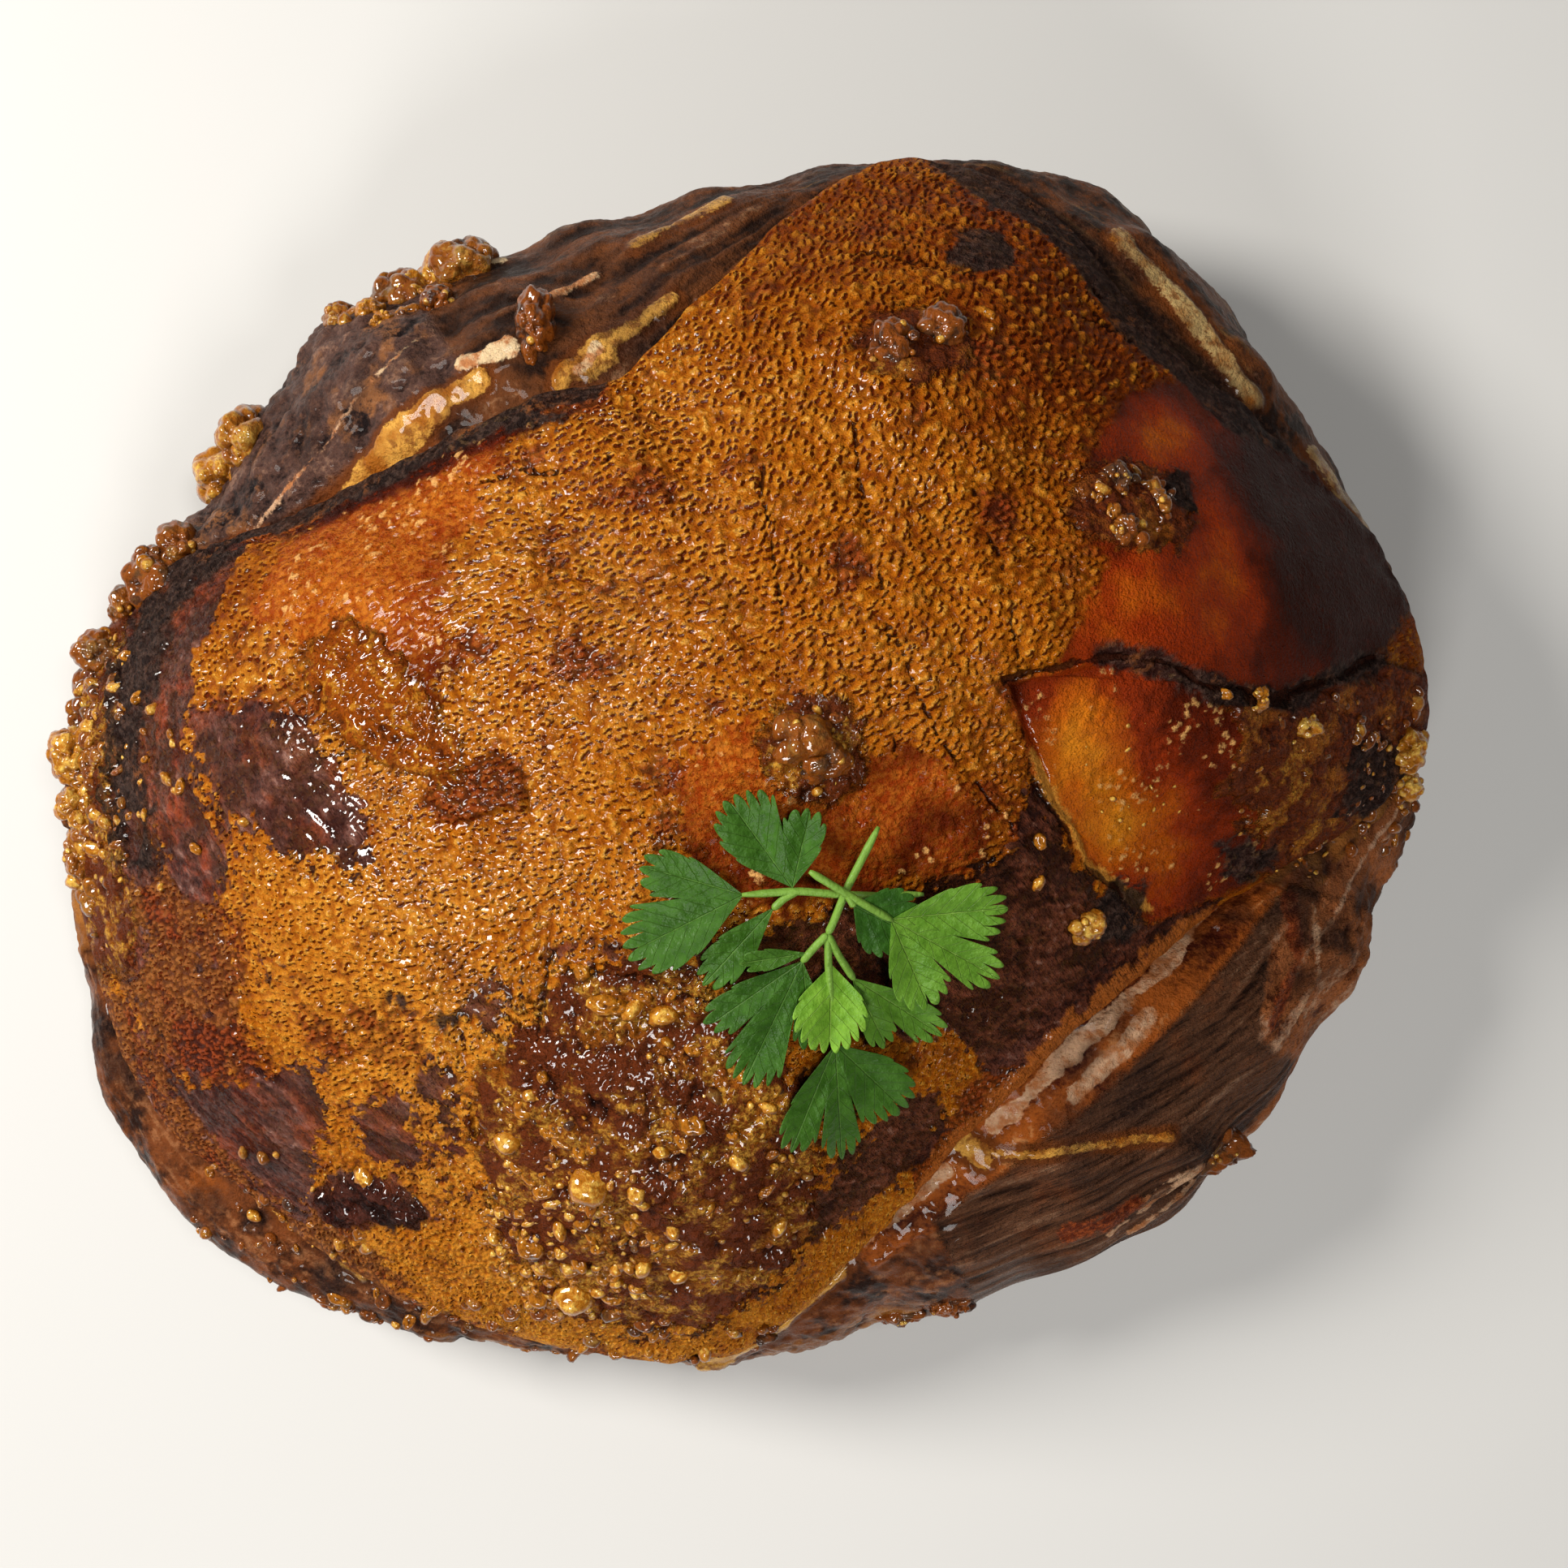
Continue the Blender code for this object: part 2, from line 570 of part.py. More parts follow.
def stem_object(cover, level, route):
    """A stem along the route, laid on the cover: a round curve with filled ends."""
    route = np.array(route)
    steps = np.linspace(0, len(route) - 1, 2 * (len(route) - 1) + 1)
    x = np.interp(steps, range(len(route)), route[:, 0])
    y = np.interp(steps, range(len(route)), route[:, 1])
    z = cover(x, y) + level_lift(x, y, level)
    curve = bpy.data.curves.new("stem", "CURVE")
    curve.dimensions = "3D"
    curve.bevel_depth = STEM_RADIUS
    curve.bevel_resolution = 1
    curve.use_fill_caps = True
    spline = curve.splines.new("POLY")
    spline.points.add(len(x) - 1)
    for point, place in zip(spline.points, zip(x, y, z)):
        point.co = (*place, 1)
    tube = bpy.data.objects.new("stem", curve)
    bpy.context.scene.collection.objects.link(tube)
    graph = bpy.context.evaluated_depsgraph_get()
    mesh = bpy.data.meshes.new_from_object(tube.evaluated_get(graph))
    bpy.data.objects.remove(tube)
    work = bmesh.new()
    work.from_mesh(mesh)
    bmesh.ops.remove_doubles(work, verts=work.verts, dist=1e-6)
    bmesh.ops.triangulate(work, faces=work.faces)
    bmesh.ops.recalc_face_normals(work, faces=work.faces)
    work.to_mesh(mesh)
    work.free()
    return new_object("stem", mesh)


def coriander_sprig(name, cover, material):
    """Stems and blades of one sprig, fused."""
    sprig = SPRIGS[name]
    stems = [stem_object(cover, sprig["level"], route) for route in sprig["stems"]]
    blades = [new_object("blade", blade_mesh(cover, sprig["level"], *blade)) for blade in sprig["blades"]]
    body = stems[0]
    body.name = name
    fuse(body, stems[1:] + blades)
    body.data.materials.clear()
    body.data.materials.append(material)
    return body


# ---------------------------------------------------------------- the model


def main():
    for obj in list(bpy.data.objects):
        bpy.data.objects.remove(obj)
    draw = np.random.default_rng(DRAW_SEED)
    rind = food_material("roast_rind", (0.36, 0.12, 0.02), 0.35)
    leaf = food_material("coriander_leaf", (0.08, 0.24, 0.03), 0.45)
    ham = new_object("ham", ham_body(), rind)
    fuse(ham, crackling(tree_of(ham), draw))
    ham.data.materials.clear()
    ham.data.materials.append(rind)
    ham.data.shade_smooth()
    cover = cover_surface(tree_of(ham))
    for name in SPRIGS:
        coriander_sprig(name, cover, leaf)


main()
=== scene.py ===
"""The looks of the bone-in cooked ham: glazed, pebbled rind over bare fat and lean, and coriander.

The rind, the flank and the sole are sheets over the same curves as the solid, with their relief
worked out point by point. Named patches of the skin (glaze, plum, char, crust, fat, lean) are
masks kept as attributes, and one roast material mixes its colours and gloss from them.
"""

import itertools
import math

import bpy
import numpy as np
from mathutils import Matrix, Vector
from mathutils.bvhtree import BVHTree


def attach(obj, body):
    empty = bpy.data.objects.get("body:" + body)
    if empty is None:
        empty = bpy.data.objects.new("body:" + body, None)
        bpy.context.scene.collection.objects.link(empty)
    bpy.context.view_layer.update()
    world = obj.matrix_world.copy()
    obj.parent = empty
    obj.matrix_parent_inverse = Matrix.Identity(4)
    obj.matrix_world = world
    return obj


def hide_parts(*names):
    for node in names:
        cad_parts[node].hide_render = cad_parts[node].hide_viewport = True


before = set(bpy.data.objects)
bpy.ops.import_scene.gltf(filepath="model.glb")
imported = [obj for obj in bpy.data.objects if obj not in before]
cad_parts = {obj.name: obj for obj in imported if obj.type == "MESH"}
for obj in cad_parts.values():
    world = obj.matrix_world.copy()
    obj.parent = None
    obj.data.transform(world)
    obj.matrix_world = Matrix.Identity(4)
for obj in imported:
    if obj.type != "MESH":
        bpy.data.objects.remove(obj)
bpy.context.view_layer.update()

# ---------------------------------------------------------------- the ham's form, in metres

APEX = (0.02, 0.03, 0.14)
CROWN_POWER = 2.3
RIND_THICKNESS = 0.0045
RIM_OVERHANG = 0.0015
FOOT_SHARE = 0.86
FLANK_ROUNDNESS = 1.5
WAIST_AT = 0.55

# One row every 15 degrees from +X, in millimetres: rim radius, rim height, waist radius, waist height.
STATIONS = (
    (179, 52, 182, 36),  # shank end
    (179, 60, 182, 40),
    (160, 76, 177, 44),
    (149, 86, 178, 46),  # strip of bare fat
    (160, 76, 178, 44),
    (160, 64, 167, 42),
    (119, 96, 153, 42),
    (95, 108, 147, 42),  # open side, where the rind has drawn back
    (98, 108, 150, 44),
    (106, 97, 156, 44),
    (125, 78, 155, 40),
    (165, 54, 171, 36),
    (178, 46, 182, 32),  # blistered end
    (180, 43, 184, 30),
    (181, 46, 196, 34),
    (171, 50, 192, 32),
    (168, 46, 179, 32),
    (163, 44, 166, 30),
    (157, 48, 163, 30),
    (130, 65, 159, 30),
    (112, 80, 162, 32),  # lean face, two muscles
    (107, 90, 172, 32),
    (112, 88, 172, 32),
    (133, 70, 176, 32),
)
SWELLINGS = (
    (-0.021, -0.1, 0.046, 0.009),
    (-0.112, -0.012, 0.036, 0.004),
    (-0.086, -0.052, 0.034, 0.004),
    (-0.069, 0.003, 0.016, -0.003),
    (0.06, 0.1, 0.04, 0.004),
    (0.112, 0.045, 0.04, 0.003),
    (0.03, -0.062, 0.03, -0.003),
)
FOLDS = (
    ((0.034, 0.086), (0.05, -0.004), 0.006, 0.0012),
    ((0.002, 0.064), (0.022, 0.012), 0.006, 0.0012),
    ((0.052, 0.062), (0.066, 0.004), 0.006, 0.001),
    ((-0.128, -0.02), (-0.112, -0.076), 0.008, -0.0022),
    ((-0.112, -0.076), (-0.084, -0.108), 0.008, -0.0018),
    ((-0.06, -0.066), (-0.066, -0.112), 0.007, -0.0018),
    ((-0.045, -0.058), (0.006, -0.066), 0.008, -0.002),
)
FLAP = ((0.065, 0.018), (0.15, 0.016), (0.176, -0.03), (0.118, -0.046), (0.078, -0.014))
FLAP_DEPTH = 0.0025
FLAP_EDGE = 0.004
FAT_STRIPS = (
    ((0.064, -0.104), (0.118, -0.099), 0.005, 0.003),
    ((0.122, -0.044), (0.092, -0.078), 0.006, 0.0035),
    ((-0.101, 0.066), (-0.06, 0.097), 0.006, 0.0035),
    ((0.104, 0.131), (0.132, 0.096), 0.006, 0.003),
)
FLANK_SWELLINGS = (
    (0.128, -0.063, 0.026, 0.003),
    (0.074, -0.122, 0.026, 0.003),
    (0.158, -0.046, 0.016, 0.0035),
    (-0.05, 0.102, 0.012, 0.004),
    (-0.098, 0.096, 0.018, 0.003),
    (0.02, 0.128, 0.022, -0.003),
)

# ---------------------------------------------------------------- patches of the skin, in millimetres

# Outlines, walked either way round.
RED_GLAZE = (
    (110, 94), (93, 85), (84, 75), (81, 64), (81, 50), (85, 43), (79, 30), (75, 20), (102, 21), (113, 16),
    (132, 14), (163, 25), (176, 40), (174, 54), (152, 72), (130, 90),
)  # fmt: skip
AMBER_FLAP = (
    (62, 17), (75, 20), (87, 23), (102, 21), (113, 16), (132, 14), (163, 25), (184, 22), (188, -8),
    (160, -30), (130, -31), (102, -41), (94, -33), (84, -26), (80, -17), (75, -12), (68, 1),
)  # fmt: skip
AMBER_MIDDLE = (
    (-7, 3), (12, 8), (30, 3), (48, 1), (60, -10), (60, -24), (40, -30), (10, -32), (-8, -24), (-14, -8),
)  # fmt: skip
AMBER_LEFT = (
    (-112, 53), (-103, 62), (-92, 68), (-72, 78), (-47, 90), (-40, 80), (-58, 62), (-62, 50), (-66, 36),
    (-62, 22), (-70, 10), (-84, 14), (-92, 24), (-104, 26), (-114, 36),
)  # fmt: skip
BLISTER = (
    (-102, 25), (-92, 32), (-78, 26), (-68, 10), (-60, 3), (-60, -4), (-68, -5), (-76, -3), (-92, 8),
)  # fmt: skip
PLUM_RIGHT = (
    (64, -18), (71, -5), (79, -18), (86, -30), (100, -36), (124, -30), (112, -52), (99, -66), (86, -80),
    (75, -85), (62, -72), (46, -64), (30, -60), (10, -52), (-8, -50), (-8, -42), (14, -40), (30, -32),
    (46, -26),
)  # fmt: skip
PLUM_LEFT = ((-134, 12), (-112, 12), (-95, 4), (-84, -10), (-82, -24), (-100, -24), (-120, -14), (-131, -2))
PLUM_LOW = (
    (-146, -85), (-123, -82), (-112, -74), (-105, -76), (-100, -84), (-104, -100), (-107, -108),
    (-114, -118), (-123, -113), (-131, -103), (-140, -97),
)  # fmt: skip
PLUM_LOW_SMALL = ((-92, -83), (-80, -83), (-76, -92), (-78, -102), (-90, -100))
BROWN_END = ((-172, -24), (-150, -18), (-128, -30), (-120, -50), (-118, -80), (-146, -88), (-164, -60))

# Round patches: x, y, half width, half height.
CRUST_FIELD = ((-20, -97, 42, 50),)
PLUM_SPECKLED = ((-26, -97, 52, 56), (-130, -60, 34, 55))
CHARRED = (
    (61, 122, 8, 6), (93, -36, 7, 6), (168, -6, 14, 12), (104, 62, 6, 4), (-77, -57, 4, 3),
    (-67, -62, 3, 3), (128, -24, 7, 5), (-44, 79, 6, 3),
)  # fmt: skip
STAINED = (
    (-58, 25, 6, 4), (-32, 21, 9, 4), (-10, -5, 7, 5), (61, 55, 5, 5), (56, 93, 11, 4), (-122, 12, 11, 3),
    (-136, -74, 8, 10), (28, 40, 3, 5), (-48, 68, 9, 5), (-104, 12, 10, 3), (-20, 60, 6, 3),
    (-60, -7, 13, 8),
)  # fmt: skip
# Glows of the glaze: x, y, half width, half height, how bright.
GLOWS = (
    (103, 76, 12, 9, 0.5), (97, 35, 17, 13, 0.36), (121, 49, 12, 16, 0.42), (80, 6, 11, 16, 0.76),
    (88, -14, 12, 16, 0.7), (104, -22, 13, 14, 0.44), (-100, 36, 18, 14, 0.46), (-78, 38, 16, 18, 0.3),
    (-62, 60, 26, 9, 0.42), (2, -3, 14, 11, 0.34), (24, -8, 20, 16, 0.08), (-98, 50, 16, 8, 0.16),
)  # fmt: skip
BURNT_GLAZE = ((154, 46, 26, 22), (168, 22, 22, 14), (138, 66, 18, 16), (150, 10, 22, 9))
# Paler and darker stretches of the pebbled skin: x, y, half width, half height, how much paler.
SHADES = (
    (-10, 66, 62, 42, 0.1), (80, 96, 30, 36, -0.34), (45, 132, 44, 14, -0.22), (-124, 42, 14, 22, -0.55),
    (-126, -58, 16, 46, -0.34), (-128, -90, 34, 30, -0.4), (-40, -146, 34, 26, 0.25),
    (66, -6, 16, 22, -0.1), (-76, -66, 30, 34, 0.3), (-60, -6, 22, 16, -0.12), (-44, -44, 16, 9, -0.35),
)  # fmt: skip
# The dark band along the blistered end, and the red one inside it: points along each, in millimetres.
END_BAND = ((-130, 60), (-146, 44), (-153, 22), (-156, 0), (-153, -20))
RED_BAND = ((-132, 40), (-139, 22), (-141, 4), (-138, -12), (-131, -28))
# The plum arc under the knuckle crust.
PLUM_ARC = ((47, -90), (28, -107), (8, -119))
# The slit along the top of the peeled flap, and the pale edge down its side.
FLAP_SLIT = ((87, 23), (102, 21), (113, 16), (132, 14), (163, 25))
PALE_EDGE = ((70, 1), (76, -11), (81, -16), (85, -25), (95, -32), (103, -37))
NUGGET_GROUND = ((92, 58, 15, 11), (20, 2, 12, 12), (42, 94, 13, 9), (-140, 80, 14, 12), (-82, 124, 22, 12))
WET_BLACK = ((-93, -112, 12, 8), (-58, -8, 11, 6))

# Lines of bare fat, cream-coloured membrane and red meat on the flank: points along each, half width,
# raggedness.
FAT_LINES = (
    (((66, -99), (78, -99), (91, -97), (102, -96), (112, -96)), 0.9, 0.5),
    (((58, -96), (63, -100)), 3.0, 0.9),
    (((-100, 63), (-90, 70)), 2.4, 1.2),
    (((-90, 70), (-80, 79), (-71, 86)), 4.6, 1.4),
    (((-71, 86), (-61, 92)), 3.2, 1.4),
    (((98, 133), (113, 115), (122, 104), (131, 92)), 2.8, 0.8),
    (((150, 80), (160, 66), (169, 54)), 2.0, 0.7),
    (((-40, 91), (-31, 97)), 3.8, 1.2),
    (((-34, 95), (-14, 111)), 2.0, 0.9),
    (((-8, -164), (8, -152), (26, -134)), 3.0, 0.8),
    (((-123, -117), (-111, -127), (-100, -137)), 2.4, 0.8),
    (((-24, 128), (-2, 142)), 1.6, 1.0),
)
CREAM_LINES = (
    (((-65, 96), (-54, 99)), 2.4, 1.0),
    (((-126, 57), (-110, 71), (-100, 81), (-91, 92), (-76, 104)), 0.3, 0.4),
    (((-46, 112), (-34, 120)), 1.2, 0.9),
    (((122, -36), (111, -49), (95, -62), (79, -77), (66, -91)), 2.1, 1.2),
    (((104, -63), (95, -73), (86, -83)), 2.3, 1.0),
    (((54, -104), (44, -114), (34, -124)), 0.9, 1.1),
    (((98, -123), (110, -114), (121, -105)), 0.9, 0.9),
    (((104, -124), (113, -117), (120, -110)), 0.7, 0.8),
    (((104, -115), (118, -105)), 0.5, 0.8),
    (((150, -38), (152, -54), (146, -68)), 0.5, 0.6),
    (((-36, 92), (-32, 98)), 1.2, 0.7),
    (((-84, 128), (-60, 130)), 0.6, 0.8),
)
RED_LINES = (
    (((86, -122), (98, -119), (104, -115)), 2.6, 0.9),
    (((143, -36), (146, -52), (138, -68)), 1.6, 0.9),
)

# Cracks and wrinkles in the rind: points along each, half width, depth.
CRACKS = (
    (((30, 120), (44, 118), (58, 114)), 0.7, 0.7),
    (((80, 116), (88, 110), (91, 104), (98, 101)), 0.6, 0.6),
    (((84, 106), (94, 104)), 0.5, 0.5),
    (((88, 114), (97, 109)), 0.5, 0.5),
    (((7, 67), (10, 50), (13, 24)), 0.5, 0.6),
    (((27, 83), (30, 59), (35, 30), (48, 4), (61, -13)), 0.5, 0.6),
    (((35, 30), (37, 0)), 0.4, 0.5),
    (((56, 62), (64, 34), (66, 14)), 0.4, 0.6),
    (((-63, 66), (-45, 66), (-28, 69)), 0.7, 0.6),
    (((-39, -46), (-43, -56), (-45, -66)), 1.4, 1.2),
    (((62, 17), (75, 20), (87, 23), (102, 21), (113, 16), (132, 14), (163, 25)), 1.3, 1.3),
    (((62, 17), (68, 1), (75, -12), (84, -26), (94, -33)), 0.9, 0.9),
    (((-39, -50), (-20, -50), (2, -57)), 1.3, 1.0),
)

# Fields are held within this distance of their edge, and a point far from every spot starts at this one.
FIELD_LIMIT = 6.0
OUTSIDE = -50.0
# How long the skin is from the apex to the rim, and the flank from the rim to the foot.
CROWN_REACH = 130
FLANK_LENGTH = 105
FLANK_RADIUS = 155
MM_PER_DEGREE = 2.7
# The pebbles' size at the apex, how much it grows for each millimetre up the skin, and their pitch.
PEBBLE_BASE = 2.75
PEBBLE_GROWTH = 0.0055
PEBBLE_SIZE = 2.3
FIBRE_SLANT = math.radians(25)

# Steps of the grids, and the tiles that each is cut into along a side or round the ham.
CROWN_STEPS = 720
CROWN_TILES = 3
FLANK_STEPS = ((1500, 120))
FLANK_TILES = 2
SOLE_RINGS = 24
# Fields that the sole lies far outside of.
NOT_ON_SOLE = "lean fat cream edge_band raw_end upper_meat dark_meat red gnarled side".split()

# ---------------------------------------------------------------- small maths


def soft_step(value, low, high):
    """0 below low, 1 above high, and a smooth rise between."""
    t = np.clip((value - low) / (high - low), 0, 1)
    return t * t * (3 - 2 * t)


def scatter(i, j, k, seed):
    """A number from 0 to 1 for each whole-number triple: mixes and folds the bits of the triple."""
    n = i.astype(np.int64) * 374761393 + j.astype(np.int64) * 668265263 + k.astype(np.int64) * 2147483647
    n = (n + seed * 974634777) & 0xFFFFFFFF
    n = ((n ^ (n >> 13)) * 1274126177) & 0xFFFFFFFF
    n = ((n ^ (n >> 16)) * 2246822519) & 0xFFFFFFFF
    return ((n ^ (n >> 15)) & 0xFFFFFF) / float(0xFFFFFF)


def cloud(at, size, seed=0):
    """Smooth noise from -1 to 1 with lumps of this size at the places (x, y, z): scattered corner
    values, smoothly blended."""
    x, y, z = at[0] / size + 91.3, at[1] / size + 47.7, at[2] / size + 13.1
    i, j, k = np.floor(x), np.floor(y), np.floor(z)
    f, g, h = (t * t * (3 - 2 * t) for t in (x - i, y - j, z - k))
    total = 0
    for a, wa in ((0, 1 - f), (1, f)):
        for b, wb in ((0, 1 - g), (1, g)):
            for c, wc in ((0, 1 - h), (1, h)):
                total = total + scatter(i + a, j + b, k + c, seed) * wa * wb * wc
    return 2 * total - 1


def clouds(at, size, seed=0, layers=3):
    """Layers of cloud noise, each of half the size and half the height of the one before."""
    total = 0
    for layer in range(layers):
        total = total + cloud(at, size / 2**layer, seed + 17 * layer) / 2**layer
    return total / (2 - 0.5 ** (layers - 1))


def bubbles(at, size, seed=0):
    """Domes of many sizes packed together: 1 on top of a dome, 0 in the creases between. Each point
    reads the nearest seed of a loose three-way grid."""
    x, y, z = at[0] / size + 31.7, at[1] / size + 57.1, at[2] / size + 11.9
    i, j, k = np.floor(x), np.floor(y), np.floor(z)
    near = np.full(x.shape, 9.0)
    for a, b, c in itertools.product((-1, 0, 1), repeat=3):
        cell = (i + a, j + b, k + c)
        seeds = [q + 0.5 + 0.9 * (scatter(*cell, seed + s) - 0.5) for s, q in enumerate(cell)]
        weight = 0.8 + 0.5 * scatter(*cell, seed + 5)
        away = (x - seeds[0]) ** 2 + (y - seeds[1]) ** 2 + (z - seeds[2]) ** 2
        near = np.minimum(near, away * weight)
    return np.sqrt(np.clip(1 - near / 0.75, 0, 1))


def segment_distance(x, y, start, end):
    """The distance of each point from the straight line between start and end."""
    along = np.array(end, float) - np.array(start, float)
    t = np.clip(((x - start[0]) * along[0] + (y - start[1]) * along[1]) / (along @ along), 0, 1)
    return np.hypot(x - start[0] - t * along[0], y - start[1] - t * along[1])


def line_distance(x, y, points):
    """The distance of each point from a line through several points."""
    return np.minimum.reduce([segment_distance(x, y, a, b) for a, b in zip(points, points[1:])])


def inside(x, y, outline):
    """How far each point lies inside an outline, and negative outside: the distance to its nearest
    side, with the sign from how often a level ray crosses the sides."""
    closed = list(outline) + [outline[0]]
    crossings = np.zeros(x.shape, int)
    for (ax, ay), (bx, by) in zip(closed, closed[1:]):
        straddles = (ay > y) != (by > y)
        reach = ax + (y - ay) * (bx - ax) / (by - ay if by != ay else 1e-9)
        crossings += straddles & (x < reach)
    return np.where(crossings % 2 == 1, 1, -1) * line_distance(x, y, closed)


def ovals(x, y, rounds, edge):
    """1 inside any of the rounds, 0 outside, with an edge this wide as a share of the radius."""
    best = np.zeros(x.shape)
    for cx, cy, half_width, half_height in rounds:
        away = np.hypot((x - cx) / half_width, (y - cy) / half_height)
        best = np.maximum(best, 1 - soft_step(away, 1 - edge, 1 + edge))
    return best


def mounds(x, y, places):
    """The height of round swellings: each lift falls off as the bell curve of the distance."""
    return sum(lift * np.exp(-((x - cx) ** 2 + (y - cy) ** 2) / reach**2) for cx, cy, reach, lift in places)


def ridges(x, y, lines):
    """The height of long swellings: each lift falls off as the bell curve of the distance."""
    return sum(
        lift * np.exp(-((segment_distance(x, y, start, end) / half_width) ** 2))
        for start, end, half_width, lift in lines
    )


def either(*fields):
    """Inside any of these patches: the highest of their fields."""
    return np.maximum.reduce(fields)


def both(*fields):
    """Inside all of these patches at once: the lowest of their fields."""
    return np.minimum.reduce(fields)


# ---------------------------------------------------------------- the ham's surface


def closed_curve(values, bearing):
    """A smooth closed curve through equally spaced values, read at these bearings (Catmull-Rom)."""
    values = np.asarray(values, float)
    place = np.asarray(bearing, float) / (2 * math.pi) * len(values)
    before = np.floor(place).astype(int)
    f = place - before
    a, b, c, d = (values[(before + k) % len(values)] for k in (-1, 0, 1, 2))
    return 0.5 * (2 * b + (c - a) * f + (2 * a - 5 * b + 4 * c - d) * f**2 + (3 * b - a - 3 * c + d) * f**3)


def station_curves(bearing):
    """Rim radius, rim height, waist radius and waist height at these bearings."""
    return [closed_curve(column, bearing) / 1000 for column in zip(*STATIONS)]


def flap_depth(x, y):
    """How far each point lies inside the sunk flap, whose corners run clockwise."""
    nearest = np.full(np.shape(x), np.inf)
    for (ax, ay), (bx, by) in zip(FLAP, FLAP[1:] + FLAP[:1]):
        past = ((by - ay) * (x - ax) - (bx - ax) * (y - ay)) / math.hypot(bx - ax, by - ay)
        nearest = np.minimum(nearest, past)
    return nearest


def ripple(x, y, z):
    """Slow unevenness of roast meat: three crossed waves, between -1 and 1."""
    return (
        np.sin(95 * x + 40 * y + 1.0) * np.cos(70 * y - 55 * z)
        + np.sin(60 * x - 130 * y + 150 * z + 2.0)
        + np.sin(170 * x + 85 * y - 60 * z)
    ) / 3


def crown_relief(x, y):
    """Height added to the smooth crown: swellings, skin folds and the sunk flap."""
    height = 0.0012 * ripple(x, y, 0 * x) + mounds(x, y, SWELLINGS) + ridges(x, y, FOLDS)
    return height - FLAP_DEPTH * soft_step(flap_depth(x, y), 0, FLAP_EDGE)


def crown_point(share, bearing):
    """The rind at this share of the way from the apex to the rim: a line from the apex to the rim
    in plan, raised by 1 - share^CROWN_POWER of the apex's height over the rim."""
    rim_radius, rim_height, _, _ = station_curves(bearing)
    x = APEX[0] * (1 - share) + rim_radius * np.cos(bearing) * share
    y = APEX[1] * (1 - share) + rim_radius * np.sin(bearing) * share
    z = rim_height + (APEX[2] - rim_height) * (1 - share**CROWN_POWER)
    return np.stack([x, y, z + crown_relief(x, y) * (1 - share**10)], -1)


def flank_point(share, bearing):
    """The side from under the rim (share 0) over the waist to the foot (share 1): two quarter
    rounds, the upper one flattened, swollen along its fat strips and muscles."""
    rim_radius, rim_height, waist_radius, waist_height = station_curves(bearing)
    start_radius = rim_radius - RIM_OVERHANG
    start_height = rim_height - RIND_THICKNESS
    foot_radius = waist_radius * FOOT_SHARE
    upper = np.clip(share / WAIST_AT, 0, 1)
    turn = np.clip((share - WAIST_AT) / (1 - WAIST_AT), 0, 1) * math.pi / 2
    out = 1 - (1 - upper) ** FLANK_ROUNDNESS
    radius = start_radius + (waist_radius - start_radius) * out
    height = start_height - (start_height - waist_height) * upper**FLANK_ROUNDNESS
    below = share > WAIST_AT
    radius = np.where(below, foot_radius + (waist_radius - foot_radius) * np.cos(turn), radius)
    height = np.where(below, waist_height * (1 - np.sin(turn)), height)
    x, y = radius * np.cos(bearing), radius * np.sin(bearing)
    bulge = 0.0024 * ripple(x, y, height) + ridges(x, y, FAT_STRIPS) + mounds(x, y, FLANK_SWELLINGS)
    bulge = bulge * np.sin(np.clip(share, 0, 1) * math.pi)
    return np.stack([x + bulge * np.cos(bearing), y + bulge * np.sin(bearing), height + 0.7 * bulge], -1)


def torn_rim(points):
    """How far the cut rim is pushed out and up at these points: layered noise, for a rough edge."""
    at = 1000 * np.moveaxis(points, -1, 0)
    away = points[..., :2] / np.maximum(np.hypot(points[..., 0], points[..., 1]), 0.01)[..., None]
    out, up = 0.0016 * clouds(at, 8, 81, 3), 0.0011 * clouds(at, 7, 84, 3)
    return np.concatenate([away * out[..., None], up[..., None]], -1)


def square_to_disc(a, b):
    """Share and bearing of points on a square from -1 to 1, ring by ring (the concentric map)."""
    wide = np.abs(a) >= np.abs(b)
    ring = np.where(wide, a, b)
    safe = np.where(ring == 0, 1, ring)
    turn = np.where(wide, math.pi / 4 * b / safe, math.pi / 2 - math.pi / 4 * a / safe)
    return np.abs(ring), turn + np.where(ring < 0, math.pi, 0)


def crown_grid(steps):
    """Share and bearing of a square grid laid over the crown."""
    line = np.linspace(-1, 1, steps + 1)
    return square_to_disc(*np.meshgrid(line, line, indexing="ij"))


def grid_normals(points):
    """Unit normals of a grid of points: the cross product of its two running differences."""
    down, across = np.gradient(points, axis=0), np.gradient(points, axis=1)
    normals = np.cross(down, across)
    return normals / np.maximum(np.linalg.norm(normals, axis=-1, keepdims=True), 1e-12)


# ---------------------------------------------------------------- relief and patches of the rind


def unrolled(share, bearing):
    """The rind laid flat about the apex, in millimetres: each point keeps its direction from the apex
    and lies as far out as the skin is long between them."""
    rim_radius, rim_height, _, _ = station_curves(bearing)
    run_x, run_y = rim_radius * np.cos(bearing) - APEX[0], rim_radius * np.sin(bearing) - APEX[1]
    steepness = CROWN_POWER * (APEX[2] - rim_height) / np.hypot(run_x, run_y)
    stretch = 0
    for k in range(12):
        stretch = stretch + np.hypot(1, steepness * (share * (k + 0.5) / 12) ** (CROWN_POWER - 1)) / 12
    return 1000 * run_x * share * stretch, 1000 * run_y * share * stretch


